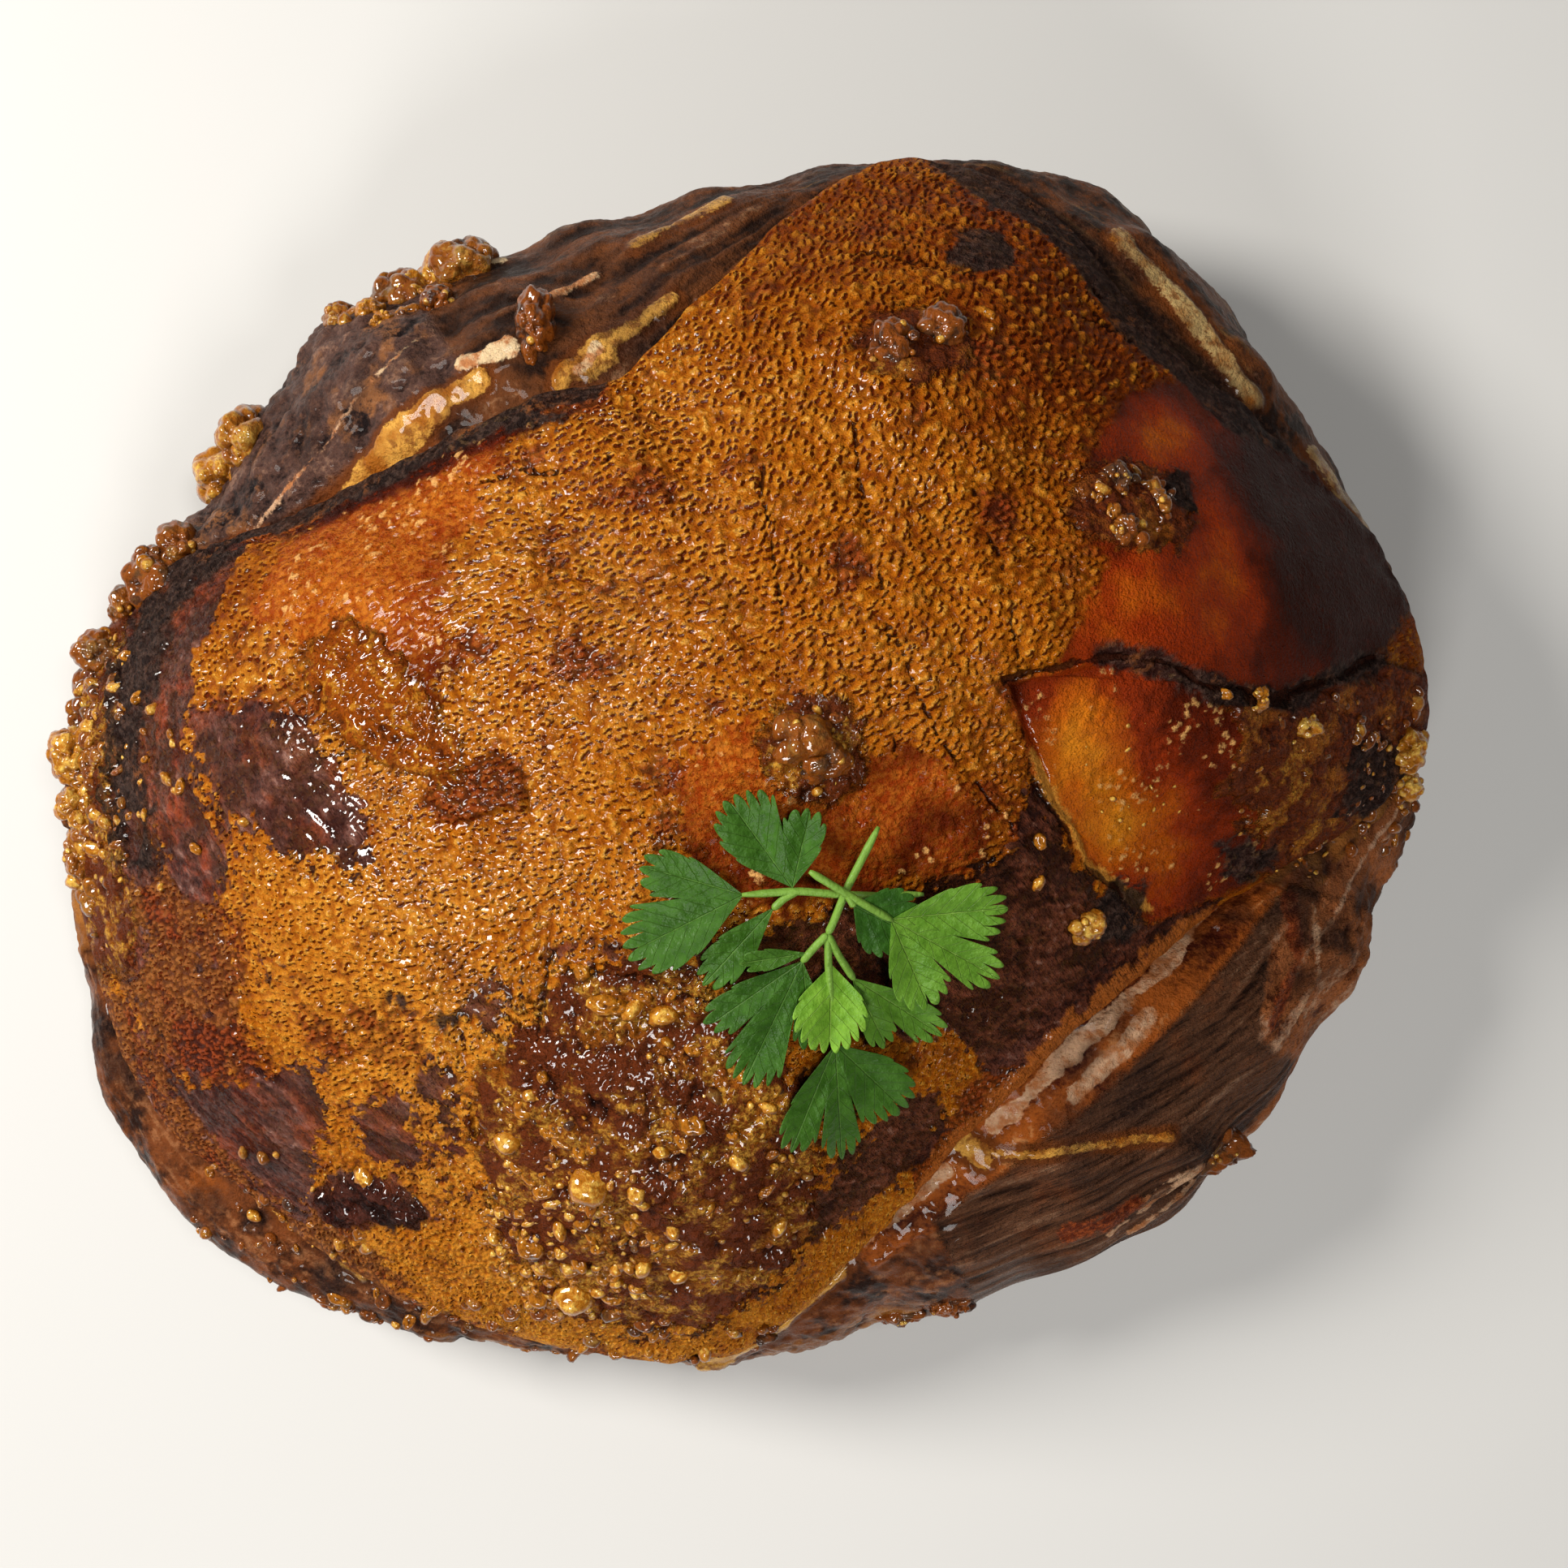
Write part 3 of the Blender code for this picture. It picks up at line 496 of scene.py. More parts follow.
def pebbles(u, v, size, heading, seed=7):
    """The pebbled skin on the laid-flat rind: how far each point is from the crease round its pebble
    and from the nearest slit, in millimetres, a number for each pebble, how high its smooth dome is,
    and how high the lip beside a slit.

    Pebbles are the nearest-seed cells of a staggered, loosened grid whose rows rise to the right.
    Each seed has one short slit at its foot: an arc along the heading that bends up round the pebble."""
    tilt = math.radians(22)
    wide, high = 1.12 * size, 0.84 * size
    a = (u * math.cos(tilt) + v * math.sin(tilt)) / wide
    b = (-u * math.sin(tilt) + v * math.cos(tilt)) / high
    row = np.floor(b)
    near, after, gap = (np.full(u.shape, 9.0) for _ in range(3))
    name, dome, lip = (np.zeros(u.shape) for _ in range(3))
    for dj in (-1, 0, 1):
        j = row + dj
        shift = 0.5 * np.mod(j, 2)
        column = np.floor(a - shift)
        for di in (-1, 0, 1):
            i = column + di
            one, two, three = (scatter(i, j, 0 * i + k, seed) for k in range(3))
            off_a = a - (i + shift + 0.5 + 0.74 * (one - 0.5))
            off_b = b - (j + 0.5 + 0.74 * (two - 0.5))
            distance = np.hypot(off_a * 1.1, off_b) * (0.9 + 0.2 * three)
            closest = distance < near
            after = np.where(closest, near, np.minimum(after, distance))
            name = np.where(closest, three, name)
            near = np.where(closest, distance, near)
            dome = dome + np.exp(-((distance / 0.42) ** 2))
            turn = heading - tilt + 0.9 * (three - 0.5)
            right, up = off_a * wide, off_b * high
            along = right * np.cos(turn) + up * np.sin(turn)
            across = up * np.cos(turn) - right * np.sin(turn) + 0.3 * size - 0.24 * along**2
            half = size * (0.12 + 0.2 * one)
            gap = np.minimum(gap, np.hypot(np.maximum(np.abs(along) - half, 0), across))
            lip = np.maximum(lip, np.exp(-((along / (half + 0.4)) ** 2) - ((across - 0.5) / 0.42) ** 2))
    return 0.5 * (after - near) * 0.9 * size, gap, name, dome, lip


def rind_look(points, share, bearing):
    """Outward relief in metres and the patch fields of the rind at these points.

    A patch field is how far inside its patch a point lies, in millimetres: the distance to its
    outline, pushed about by layered noise and by a number for each pebble, so that its edge is ragged
    and runs round whole pebbles. Crust is three sizes of packed bubbles, and pebbles with slits cover
    what no patch does."""
    x, y, z = at = 1000 * np.moveaxis(points, -1, 0)
    torn = 2.6 * clouds(at, 11, 1, 2) + 2.3 * clouds(at, 3.6, 2, 3)

    u, v = unrolled(share, bearing)
    u = u + 2.4 * cloud(at, 30, 11) + 0.7 * cloud(at, 7, 12) + 0.3 * cloud(at, 2.6, 17)
    v = v + 2.4 * cloud(at, 30, 13) + 0.7 * cloud(at, 7, 14) + 0.3 * cloud(at, 2.6, 18)
    size = PEBBLE_BASE + PEBBLE_GROWTH * v
    rows = PEBBLE_BASE / PEBBLE_GROWTH * np.log(np.clip(size, 1.2, 6) / PEBBLE_BASE)
    bend = soft_step(x + 0.35 * y, -5, 75)
    heading = math.radians(20) + math.radians(50) * bend + 0.35 * cloud(at, 8, 19)
    crease, gap, name, dome, lip = pebbles(u / size * PEBBLE_BASE, rows, PEBBLE_SIZE, heading)
    shut = soft_step(cloud(at, 3.4, 23), -0.15, -0.75)
    own = name - 0.5

    def patch(outline, ragged=1.0, by_pebble=0.0):
        """The field of an outline."""
        return inside(x, y, outline) + ragged * torn + by_pebble * own

    def spots(rounds, ragged=1.0, by_pebble=0.0):
        """The field of round patches."""
        best = np.full(x.shape, OUTSIDE)
        for cx, cy, half_width, half_height in rounds:
            away = np.hypot((x - cx) / half_width, (y - cy) / half_height)
            best = np.maximum(best, (1 - away) * min(half_width, half_height))
        return best + ragged * torn + by_pebble * own

    def band(line, half_width, ragged=0.0, by_pebble=0.0):
        """The field of a line of this half width."""
        return half_width - line_distance(x, y, line) + ragged * torn + by_pebble * own

    def towards(degrees, low, high):
        """1 near this bearing and 0 away from it: a smooth step of the cosine of the turn to it."""
        return soft_step(np.cos(bearing - math.radians(degrees)), low, high)

    to_rim = (1 - share) * CROWN_REACH
    flap = patch(AMBER_FLAP, 0.35)
    bubbly = 0.8 * (x + 0.42 * y - 112) + 3 * torn
    crust = either(
        spots(CRUST_FIELD, 1.4, 4),
        spots(NUGGET_GROUND, 1.0, 2),
        both(flap, bubbly - 8),
        both(-x - 158 + 2.0 * torn, 0.3 * (y + 55)),
    )
    blister = patch(BLISTER, 1.4)
    soft_glaze = either(0.7 * patch(AMBER_LEFT, 1.6, 6), patch(AMBER_MIDDLE, 1.8, 5))
    hard_glaze = either(patch(RED_GLAZE, 0.6, 2.5), flap)
    glaze = both(either(hard_glaze, soft_glaze), -crust)
    # Bands of browned and blackened skin beside the cut rim and along the blistered end.
    rim_left, rim_right = towards(134, 0.885, 0.935), towards(50, 0.91, 0.965)
    low_right = towards(318, 0.9, 0.95)
    rim_band = either(rim_left * 8.5, rim_right * 10.0) - to_rim + 0.9 * torn
    under_band = either(band(END_BAND, 11.0), band(RED_BAND, 8.0)) + 1.3 * torn + 3 * own
    end_band = both(band(END_BAND, 8.0, 1.8, 3), 2.2 + 7 * clouds(at, 6, 27, 3))
    char = either(
        spots(CHARRED, 1.5, 2),
        np.where(either(rim_left, rim_right) > 0.02, rim_band, -9),
        band(FLAP_SLIT, 3.2, 0.9),
        end_band,
    )
    pool = spots(WET_BLACK[:1], 1.4)
    plum = either(
        patch(PLUM_RIGHT, 1.7, 5),
        patch(PLUM_LEFT, 1.6, 5),
        patch(PLUM_LOW, 1.4, 5),
        patch(PLUM_LOW_SMALL, 1.4, 5),
        both(7 * clouds(at, 13, 8, 3) - 2.2 + 4 * own, spots(PLUM_SPECKLED, 0)),
        pool + 2,
        band(PLUM_ARC, 7.0, 1.8, 4),
        under_band,
    )
    plum = both(plum, -glaze)
    blotches = 0.5 + 0.5 * soft_step(-x - 0.6 * y, 0, 110)
    edge = np.where(low_right > 0.02, low_right * 5.5 - to_rim + 1.5 * torn, -9)
    stain = either(
        spots(STAINED, 1.6, 4),
        6 * clouds(at, 9, 9, 3) - 4.0 + 2.2 * blotches + 3 * own,
        np.where(rim_left > 0.02, 0.45 * (rim_left * 17 - to_rim) + 0.8 * torn, -9),
        edge + 5,
    )
    brown = either(0.45 * patch(BROWN_END, 3.4, 8), 0.5 * (-x - y - 222) + 2 * torn + 4 * own)
    glow = np.zeros(x.shape)
    for cx, cy, half_width, half_height, bright in GLOWS:
        away = ((x + torn - cx) / half_width) ** 2 + ((y - cy) / half_height) ** 2
        glow += bright * np.exp(-away) * (1 - 0.5 * glow)
    glow += 0.22 * clouds(at, 9, 15, 3) - 0.8 * ovals(x + torn, y, BURNT_GLAZE, 0.5)
    glow -= 0.95 * rim_left * (1 - soft_step(to_rim + torn, 6, 20))
    tone = np.clip(0.54 - 0.0032 * x - 0.0014 * y, 0, 0.86) + 0.34 * clouds(at, 18, 16, 3)
    for cx, cy, half_width, half_height, paler in SHADES:
        tone += paler * np.exp(-(((x - cx) / half_width) ** 2) - ((y - cy) / half_height) ** 2)

    # A crack runs round the pebbles near its line, in a shallow valley.
    sway_x, sway_y = 2.6 * clouds(at, 9, 3, 4), 2.6 * clouds(at, 9, 4, 4)
    broken = 0.9 * soft_step(cloud(at, 6, 5), -0.1, 0.5)
    cracks, valley = np.full(x.shape, FIELD_LIMIT), np.zeros(x.shape)
    for line, half_width, depth in CRACKS:
        near = line_distance(x + sway_x, y + sway_y, line) + broken
        on_pebbles = either(near / (1.1 * half_width), crease / 0.34)
        cracks = both(cracks, np.where(glaze > -1, near / (0.8 * half_width), on_pebbles))
        valley = either(valley, depth * np.exp(-((near / 2.4) ** 2)))

    covered = either(hard_glaze / 2.2, soft_glaze / 16.0, plum / 1.2, crust / 1.2, blister / 1.2, char / 1.6)
    pebbled = 1 - np.clip(covered + 0.5, 0, 1)
    in_crust = soft_step(crust, -0.5, 1.2)
    in_glaze = soft_step(glaze, -1.0, 0.6)
    in_plum = soft_step(plum, -0.5, 1.0)
    in_blister = soft_step(blister, -1.5, 5.0)
    in_char = soft_step(char, -1.0, 1.5)
    in_edge = soft_step(edge, -1.0, 1.5)
    in_flap = soft_step(flap, -1.0, 2.0)
    in_soft = soft_step(soft_glaze, -1, 1) * (1 - soft_step(hard_glaze, -1, 1))
    in_pools = soft_step(spots(WET_BLACK, 1.4), -1.0, 1.5)
    grain = clouds(at, 1.5, 21, 2)
    small, middling, large = bubbles(at, 2.1, 31), bubbles(at, 3.9, 36), bubbles(at, 7.0, 41)
    knobbly = 0.9 * large + 0.9 * middling * soft_step(cloud(at, 7, 43), -0.5, 0.4) + 0.45 * small
    drawn_out = (0.16 * x - 0.1 * y + 40, 0.85 * y + 0.5 * x + 1.2 * cloud(at, 9, 52), z)
    wrinkle = clouds(drawn_out, 1.5, 51, 2)
    fold = clouds((0.6 * x, y, z), 8, 53, 3)
    crumple = 1.6 * cloud(at, 3.1, 57)
    wires = 1 - 2.2 * np.abs(clouds((x + 1.4 * crumple, y - 1.4 * crumple, z), 3.8, 55, 3))
    cut = np.exp(-((gap / 0.35) ** 2)) * (1 - shut)
    drops = soft_step(bubbles(at, 2.7, 81), 0.62, 1.0) * soft_step(cloud(at, 9, 82), -0.5, 0.5)
    # The peeled flap has a ragged edge: the straight one of the solid is filled and cut again.
    straight = soft_step(1000 * flap_depth(x / 1000, y / 1000), 0, 1000 * FLAP_EDGE)
    ragged_edge = soft_step(flap - 0.4, 0, 2.2)
    relief = (
        pebbled * ((0.42 + 0.4 * name) * dome + 0.26 * lip - 0.42 * cut)
        + pebbled * (0.66 * clouds(at, 6.0, 22, 3) + 0.34 * grain)
        + in_crust * (1.25 * knobbly - 1.1 + 0.4 * grain)
        + in_blister * (1.1 * wires + 0.6 * large + 0.5 * middling + 0.3 * grain)
        + in_plum * (0.42 * wrinkle + 0.55 * fold + 0.26 * grain)
        + in_glaze * 0.3 * clouds(at, 9, 61, 2)
        + in_flap * (0.32 * small + 0.55 * middling) * soft_step(bubbly, -32, 0)
        + (in_flap * 0.6 + in_soft * 0.4) * drops
        + in_soft * (0.34 * small + 0.26 * grain)
        + in_pools * (0.8 * wires + 1.3 * middling + 0.7 * small)
        + in_char * (0.45 * clouds(at, 2.6, 24, 2) + 0.8 * middling * soft_step(end_band, -1, 2))
        + in_edge * (0.9 * middling + 0.4 * small)
        + 0.05 * grain
        - 0.8 * valley
        - 0.5 * np.exp(-(cracks**2))
        - 0.25 * soft_step(stain, 0, 3) * pebbled
        + 0.6 * clouds((x, 0.5 * y, z), 13, 71, 2)
        + 1000 * FLAP_DEPTH * (straight - ragged_edge) * (1 - share**10)
    )
    fields = dict(
        **dict(glaze=glaze, plum=plum, crust=crust, char=char, stain=stain, brown=brown, blister=blister),
        **dict(flap=flap, glow=glow, tone=tone, edge=edge, soft=soft_glaze, wire=wires, pebble=name),
        # The lip beside each slit is added to the dome, so the material also gives it the painted crease
        # shade and top highlight.
        dome=dome + 0.25 * lip,
        slit=np.minimum(gap / 0.34 + 1.5 * shut, 3),
        crack=np.minimum(cracks, 3),
        knob=(0.9 * large + 0.9 * middling + 0.45 * small) / 2.0,
        wet=either(pool, blister),
        ruddy=band(RED_BAND, 7.0, 1.0),
        # Where the material paints its glints: the drops on the flap and the soft glaze.
        glint_drop=drops * either(in_flap, in_soft),
        cream=both(band(PALE_EDGE, 1.3, 0.5), flap),
        # The plum's wrinkles, as in its relief: the material paints their crests lighter and their hollows
        # darker.
        wrinkle=0.5 + 0.45 * wrinkle + 0.45 * fold,
        sheen=0.45 - 0.003 * x + 0.8 * clouds(at, 16, 75, 3),
    )
    # The relief dies away at the cut rim, whose edge is rounded over.
    return relief * soft_step(to_rim, 0, 3.0) / 1000, held_in(fields)


def held_in(fields):
    """The fields, cut off at the limit either way."""
    return {name: np.clip(values, -FIELD_LIMIT, FIELD_LIMIT) for name, values in fields.items()}


# ---------------------------------------------------------------- relief and patches of the flank


def flank_look(points, share, bearing):
    """Outward relief in metres and the patch fields of the flank at these points.

    Lean is fine ridges along the grain of each muscle, fat is smooth with slow lumps, and the rest
    is browned membrane, crumpled and streaked along the rim, or crags of packed bubbles. Fields are
    in millimetres as on the rind."""
    x, y, z = at = 1000 * np.moveaxis(points, -1, 0)
    degrees = np.degrees(bearing) % 360
    torn = 2.0 * clouds(at, 12, 101, 3) + 1.0 * clouds(at, 3.5, 102, 2)
    run, down = bearing * FLANK_RADIUS, share * FLANK_LENGTH

    def between(first, last):
        """The field of the stretch between two bearings, in degrees."""
        middle, half = (first + last) / 2, (last - first) / 2
        return MM_PER_DEGREE * (half - np.abs((degrees - middle + 180) % 360 - 180)) + torn

    def strip(line, half_width, ragged=0.5):
        """The field of a line of this half width."""
        return half_width - line_distance(x, y, line) + ragged * torn

    def held(field, share_from, share_to):
        """The field, cut off outside these shares of the way down."""
        return both(field, FLANK_LENGTH * both(share - share_from, share_to - share) + 0.6 * torn)

    crumple = clouds((x, y, z + 0.4 * x), 7, 181, 4)
    drawn_out = (run / 7 + 60, down + 1.2 * cloud(at, 20, 120), 0.0 * z + 3)
    streak = clouds(drawn_out, 3.2, 121, 3)
    lean = held(between(294, 347), 0.105, 0.62)
    upper_meat = between(84, 132)
    dark_meat = held(between(124, 160), 0.06, 0.75)
    edge_band = held(between(285, 347), -1.0, 0.115)
    fat = held(either(*(strip(*row) for row in FAT_LINES)), -1.0, 0.5)
    cream = held(either(*(strip(*row) for row in CREAM_LINES)), -1.0, 0.66)
    char = either(
        both(between(84, 126), 4 * streak + 4 * crumple - 2.2),
        held(between(22, 66), -1.0, 0.09),
        both(between(342, 384), 7 * clouds(at, 8, 132, 3) - 0.4),
        8 * clouds(at, 15, 141, 4) - 3.0,
        both(between(186, 262), 9 * clouds(at, 9, 142, 3) - 1.6),
        strip(((117, -97), (126, -104)), 3.0, 1.5),
    )
    char = both(char, 1 - either(fat, cream))
    red = either(*(strip(*row) for row in RED_LINES))
    gnarled = both(
        either(held(between(332, 356), 0.16, 0.8), held(between(300, 333), 0.48, 0.8)),
        1.4 * (x - 0.2 * y - 148) + 2 * torn,
    )
    glow = 0.75 * np.exp(-((x + 141) ** 2 + (y + 112) ** 2) / 9**2) - 0.15
    glow += 0.45 * clouds(at, 14, 151, 3) * soft_step(between(196, 262), -9, 9)
    # Muscle fibre: ridges across a slanted run, broken up along their length.
    along = x * math.cos(FIBRE_SLANT) + y * math.sin(FIBRE_SLANT) + 0.7 * z
    aside = -x * math.sin(FIBRE_SLANT) + y * math.cos(FIBRE_SLANT) + 0.8 * z + 1.6 * cloud(at, 18, 161)
    fibre = clouds((along / 12 + 40, aside, 0.0 * z), 2.2, 163, 1)
    bunch = clouds((along / 7 + 40, aside, 0.0 * z + 5), 3.4, 165, 3)
    grain = clouds(at, 2.2, 171, 2)
    crag = clouds(at, 9, 183, 4)
    knobs = 0.7 * bubbles(at, 5.5, 191) + 0.3 * bubbles(at, 2.6, 192)
    in_lean, in_fat = soft_step(lean, -1, 1), soft_step(either(fat, cream), -1.2, 1.2)
    in_dark = soft_step(dark_meat, -3, 3) * (1 - in_fat)
    granular = soft_step(between(340, 378), -4, 4) * (1 - in_fat)
    end_crust = soft_step(between(163, 198), -6, 6) * (1 - soft_step(share, 0.45, 0.75))
    low_edge = soft_step(between(240, 290), -9, 9) * soft_step(share, 0.24, 0.4)
    in_band = soft_step(edge_band, -1, 2) * (1 - in_fat)
    rest = (1 - in_lean) * (1 - in_fat)
    relief = (
        in_lean * (0.4 * fibre + 0.4 * bunch)
        + in_fat * (1.0 * clouds(at, 6, 195, 4) + 1.0)
        + rest * (1.1 * crumple + 0.9 * streak * soft_step(upper_meat, -4, 4) + 0.2 * grain)
        + granular * (2.2 * knobs - 1.0)
        + low_edge * (2.2 * knobs - 0.8)
        + end_crust * (2.4 * knobs - 0.8)
        + in_dark * (2.0 * crag + 1.9 * knobs - 1.0)
        + soft_step(gnarled, -1, 3) * (1.3 * crag + 0.8 * streak)
        + in_band * (1.3 * knobs + 0.8 * streak - 0.3)
        + 1.4 * clouds(at, 26, 197, 2)
    )
    fields = dict(
        **dict(lean=lean, fat=fat, cream=cream, char=char, red=red, gnarled=gnarled, glow=glow),
        **dict(upper_meat=upper_meat, dark_meat=dark_meat, edge_band=edge_band),
        fibre=0.5 + 0.62 * fibre + 0.16 * bunch,
        streak=0.5 + 0.6 * streak,
        crag=0.5 + 0.35 * crag + 0.45 * (knobs - 0.5),
        knob=knobs * either(granular, low_edge, end_crust),
        wet=between(196, 300),
        raw_end=between(340, 384),
        side=between(20, 84),
    )
    # The relief dies away at the rim and at the foot.
    return relief * soft_step(share, 0.0, 0.05) * (1 - soft_step(share, 0.86, 1.0)) / 1000, held_in(fields)


# ---------------------------------------------------------------- meshes


def add_masks(mesh, masks):
    """Keeps each field as a number for every point of the mesh."""
    for name, values in masks.items():
        layer = mesh.attributes.new(name, "FLOAT", "POINT")
        layer.data.foreach_set("value", np.ascontiguousarray(values, np.float32).ravel())


def mesh_from(name, points, quads, masks=None, normals=None):
    """A mesh of four-sided faces from whole arrays, smooth shaded."""
    mesh = bpy.data.meshes.new(name)
    points = np.ascontiguousarray(points.reshape(-1, 3), np.float32)
    quads = np.ascontiguousarray(quads, np.int32)
    mesh.vertices.add(len(points))
    mesh.vertices.foreach_set("co", points.ravel())
    mesh.loops.add(quads.size)
    mesh.loops.foreach_set("vertex_index", quads.ravel())
    mesh.polygons.add(len(quads))
    mesh.polygons.foreach_set("loop_start", np.arange(0, quads.size, 4, dtype=np.int32))
    mesh.update(calc_edges=True)
    mesh.polygons.foreach_set("use_smooth", np.ones(len(quads), bool))
    if masks:
        add_masks(mesh, masks)
    if normals is not None:
        mesh.normals_split_custom_set_from_vertices(normals.reshape(-1, 3))
    obj = bpy.data.objects.new(name, mesh)
    bpy.context.scene.collection.objects.link(obj)
    return obj


def grid_quads(rows, columns, wrap=False):
    """Corner numbers of the faces between neighbouring rows and columns, facing out of the screen
    when rows run right and columns run up. wrap joins the last column to the first."""
    r = np.arange(rows - 1)[:, None] * columns
    c = np.arange(columns if wrap else columns - 1)[None, :]
    d = (c + 1) % columns
    corners = [r + c, r + columns + c, r + columns + d, r + d]
    return np.stack([q.ravel() for q in np.broadcast_arrays(*corners)], -1)


def finish_piece(obj, node, material):
    """Gives the piece its material and its place in the frame: it rides the root and stands for a node."""
    obj.data.materials.clear()
    obj.data.materials.append(material)
    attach(obj, "root")
    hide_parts(node)


def tile_of(name, part, points, masks, material, normals=None):
    """One tile of a larger grid of points, as a piece of roast skin."""
    rows, columns = points[part].shape[:2]
    masks = {field: values[part] for field, values in masks.items()}
    normals = None if normals is None else normals[part]
    tile = mesh_from(name, points[part], grid_quads(rows, columns), masks, normals)
    finish_piece(tile, "ham", material)


def cut_up(count, tiles):
    """Stretches of a grid line of this many steps, each sharing its end point with the next."""
    step = count // tiles
    return [slice(i * step, (i + 1) * step + 1) for i in range(tiles)]


def rind_pieces(material):
    """The crown's square grid, raised along its normals by its relief and cut into tiles."""
    share, bearing = crown_grid(CROWN_STEPS)
    base = crown_point(share, bearing)
    relief, masks = rind_look(base, share, bearing)
    points = base + grid_normals(base) * relief[..., None]
    points = points + torn_rim(base) * soft_step(share, 0.94, 1.0)[..., None]
    normals = grid_normals(points)
    masks["level"] = normals[..., 2]
    for i, rows in enumerate(cut_up(CROWN_STEPS, CROWN_TILES), 1):
        for j, columns in enumerate(cut_up(CROWN_STEPS, CROWN_TILES), 1):
            tile_of(f"rind_{i}_{j}", (rows, columns), points, masks, material, normals)


def flank_pieces(material):
    """The flank from the crown's edge, round under the rim, down to the foot, in tiles round the ham,
    and the flat sole inside the foot."""
    around, down = FLANK_STEPS
    bearing = np.linspace(0, 2 * math.pi, around + 1)[None, :]
    share = np.concatenate([[0.0], np.linspace(0, 1, down) ** 1.1])[:, None]
    share, bearing = np.broadcast_arrays(share, bearing)
    base = flank_point(share, bearing)
    relief, masks = flank_look(base, share, bearing)
    normals = -grid_normals(base)
    outward = np.stack([np.cos(bearing), np.sin(bearing), 0 * bearing], -1)
    flip = np.sign((normals * outward).sum(-1, keepdims=True) + normals[..., 2:] * 0.2)
    points = base + normals * np.where(flip == 0, 1, flip) * relief[..., None]
    points = points + torn_rim(base) * (1 - soft_step(share, 0.0, 0.12))[..., None]
    rim = crown_point(np.ones(around + 1), bearing[0])
    points[0] = rim + torn_rim(rim)
    points[:, -1] = points[:, 0]
    for i, columns in enumerate(cut_up(around, FLANK_TILES), 1):
        tile_of(f"flank_{i}", (slice(None), columns), points, masks, material)
    sole = points[-1, ::6] * np.linspace(1, 0, SOLE_RINGS)[:, None, None]
    masks = {name: np.full(sole.shape[:2], -FIELD_LIMIT) for name in NOT_ON_SOLE}
    masks["char"], masks["streak"] = (np.full(sole.shape[:2], level) for level in (0.3, 0.5))
    tile_of("sole", (slice(None), slice(None)), sole, masks, material)


# ---------------------------------------------------------------- crackling

# All in millimetres. Nuggets: x, y, half length along x and y, how far it stands out, how golden.
NUGGETS = (
    (-139.5, 77, 9.5, 8.5, 8.5, 0.7), (-133, 86, 7.5, 8, 8, 0.5), (-93.5, 127, 8, 8.5, 8, 0.3),
    (-78, 130, 8, 7, 8, 0.8), (-69, 129, 8.5, 7, 7.5, 0.4), (-85, 123, 4.6, 5, 6, 0.9),
    (-93, 115, 3.4, 4, 4, 0.9), (-89, 112, 3, 2.6, 3.6, 0.8), (-74, 116, 4.8, 4.2, 5, 0),
    (-104, 116, 4.5, 4.5, 5, 0.5), (-151, 48, 8.5, 8, 7, 0.2), (-144.5, 56, 6, 5.5, 6, 0.3),
    (-160, 40, 5, 5, 5, 0.3), (-167, 29, 6, 6.5, 6, 0.3), (-175, 1, 6, 8, 6, 0.7),
    (-173.5, -12, 5, 6, 5, 0.7), (-174, -24, 4.5, 6, 4.5, 0.4), (176, 3, 4.5, 5, 4.5, 0.7),
    (179, -6, 4, 4, 4, 0.8), (140, 8.5, 4.6, 3, 2.6, 0.9), (125, 14, 3.4, 2.8, 2.4, 0.8),
    (16, 5, 7, 6.5, 5.2, 0.3), (22, -1, 6.5, 6, 5.5, 0.2), (38, 93, 6.5, 7.5, 4.5, 0.1),
    (49, 98, 5.5, 5.5, 4, 0.2), (89.5, 64, 3.6, 4, 2.6, 0.2), (98.5, 58.5, 4, 3.6, 2.8, 0.4),
    (90.5, 52.5, 3.6, 3.2, 2.6, 0.3), (85, -40, 4.2, 4.2, 3.5, 0.6), (127, -103, 8, 5.8, 2.6, 0.2),
    (44, -149, 8, 4.6, 2.6, 0.2), (57, -145, 6.5, 4, 2.4, 0.1), (-47, 104, 5, 10, 6, 0.1),
)  # fmt: skip

# Bright beads on the knuckle, and loose ones: x, y, radius.
KNUCKLE_BEADS = (
    (-33, -49, 2.2), (-28, -56, 2.8), (-25, -57, 2.3), (-21, -57, 2.4), (-15, -59, 2.3), (-8, -67, 1.3),
    (-43, -74, 2.0), (-48, -82, 2.5), (-5, -79, 1.3), (9, -81, 1.5), (-41, -87, 1.7), (-8, -85, 2.6),
    (-11, -89, 1.8), (-16, -92, 2.4), (-53, -91, 3.0), (-51, -97, 2.3), (-33, -101, 4.3), (-45, -104, 3.0),
    (2, -95, 2.1), (-22, -103, 2.0), (9, -103, 1.8), (-36, -112, 2.3), (-51, -110, 2.3), (-14, -113, 2.0),
    (12, -114, 2.3), (-33, -120, 1.8), (-50, -121, 3.2), (-38, -125, 2.2), (-22, -126, 2.4),
    (-41, -137, 4.5), (-50, -137, 2.8), (-40, -147, 1.6), (-24, -133, 1.8), (-13, -128, 1.7),
)  # fmt: skip
LOOSE_BEADS = (
    (-159, 19, 2.4), (-151, 16, 1.8), (-156, 27, 1.6), (-132, -22, 1.8), (-116, -15, 1.4), (72, -29, 1.8),
    (72, -19, 1.4), (116, 15, 1.8), (138, 8, 1.5), (82, -40, 2.6), (-93, -105, 1.8), (-87, -111, 1.6),
)  # fmt: skip
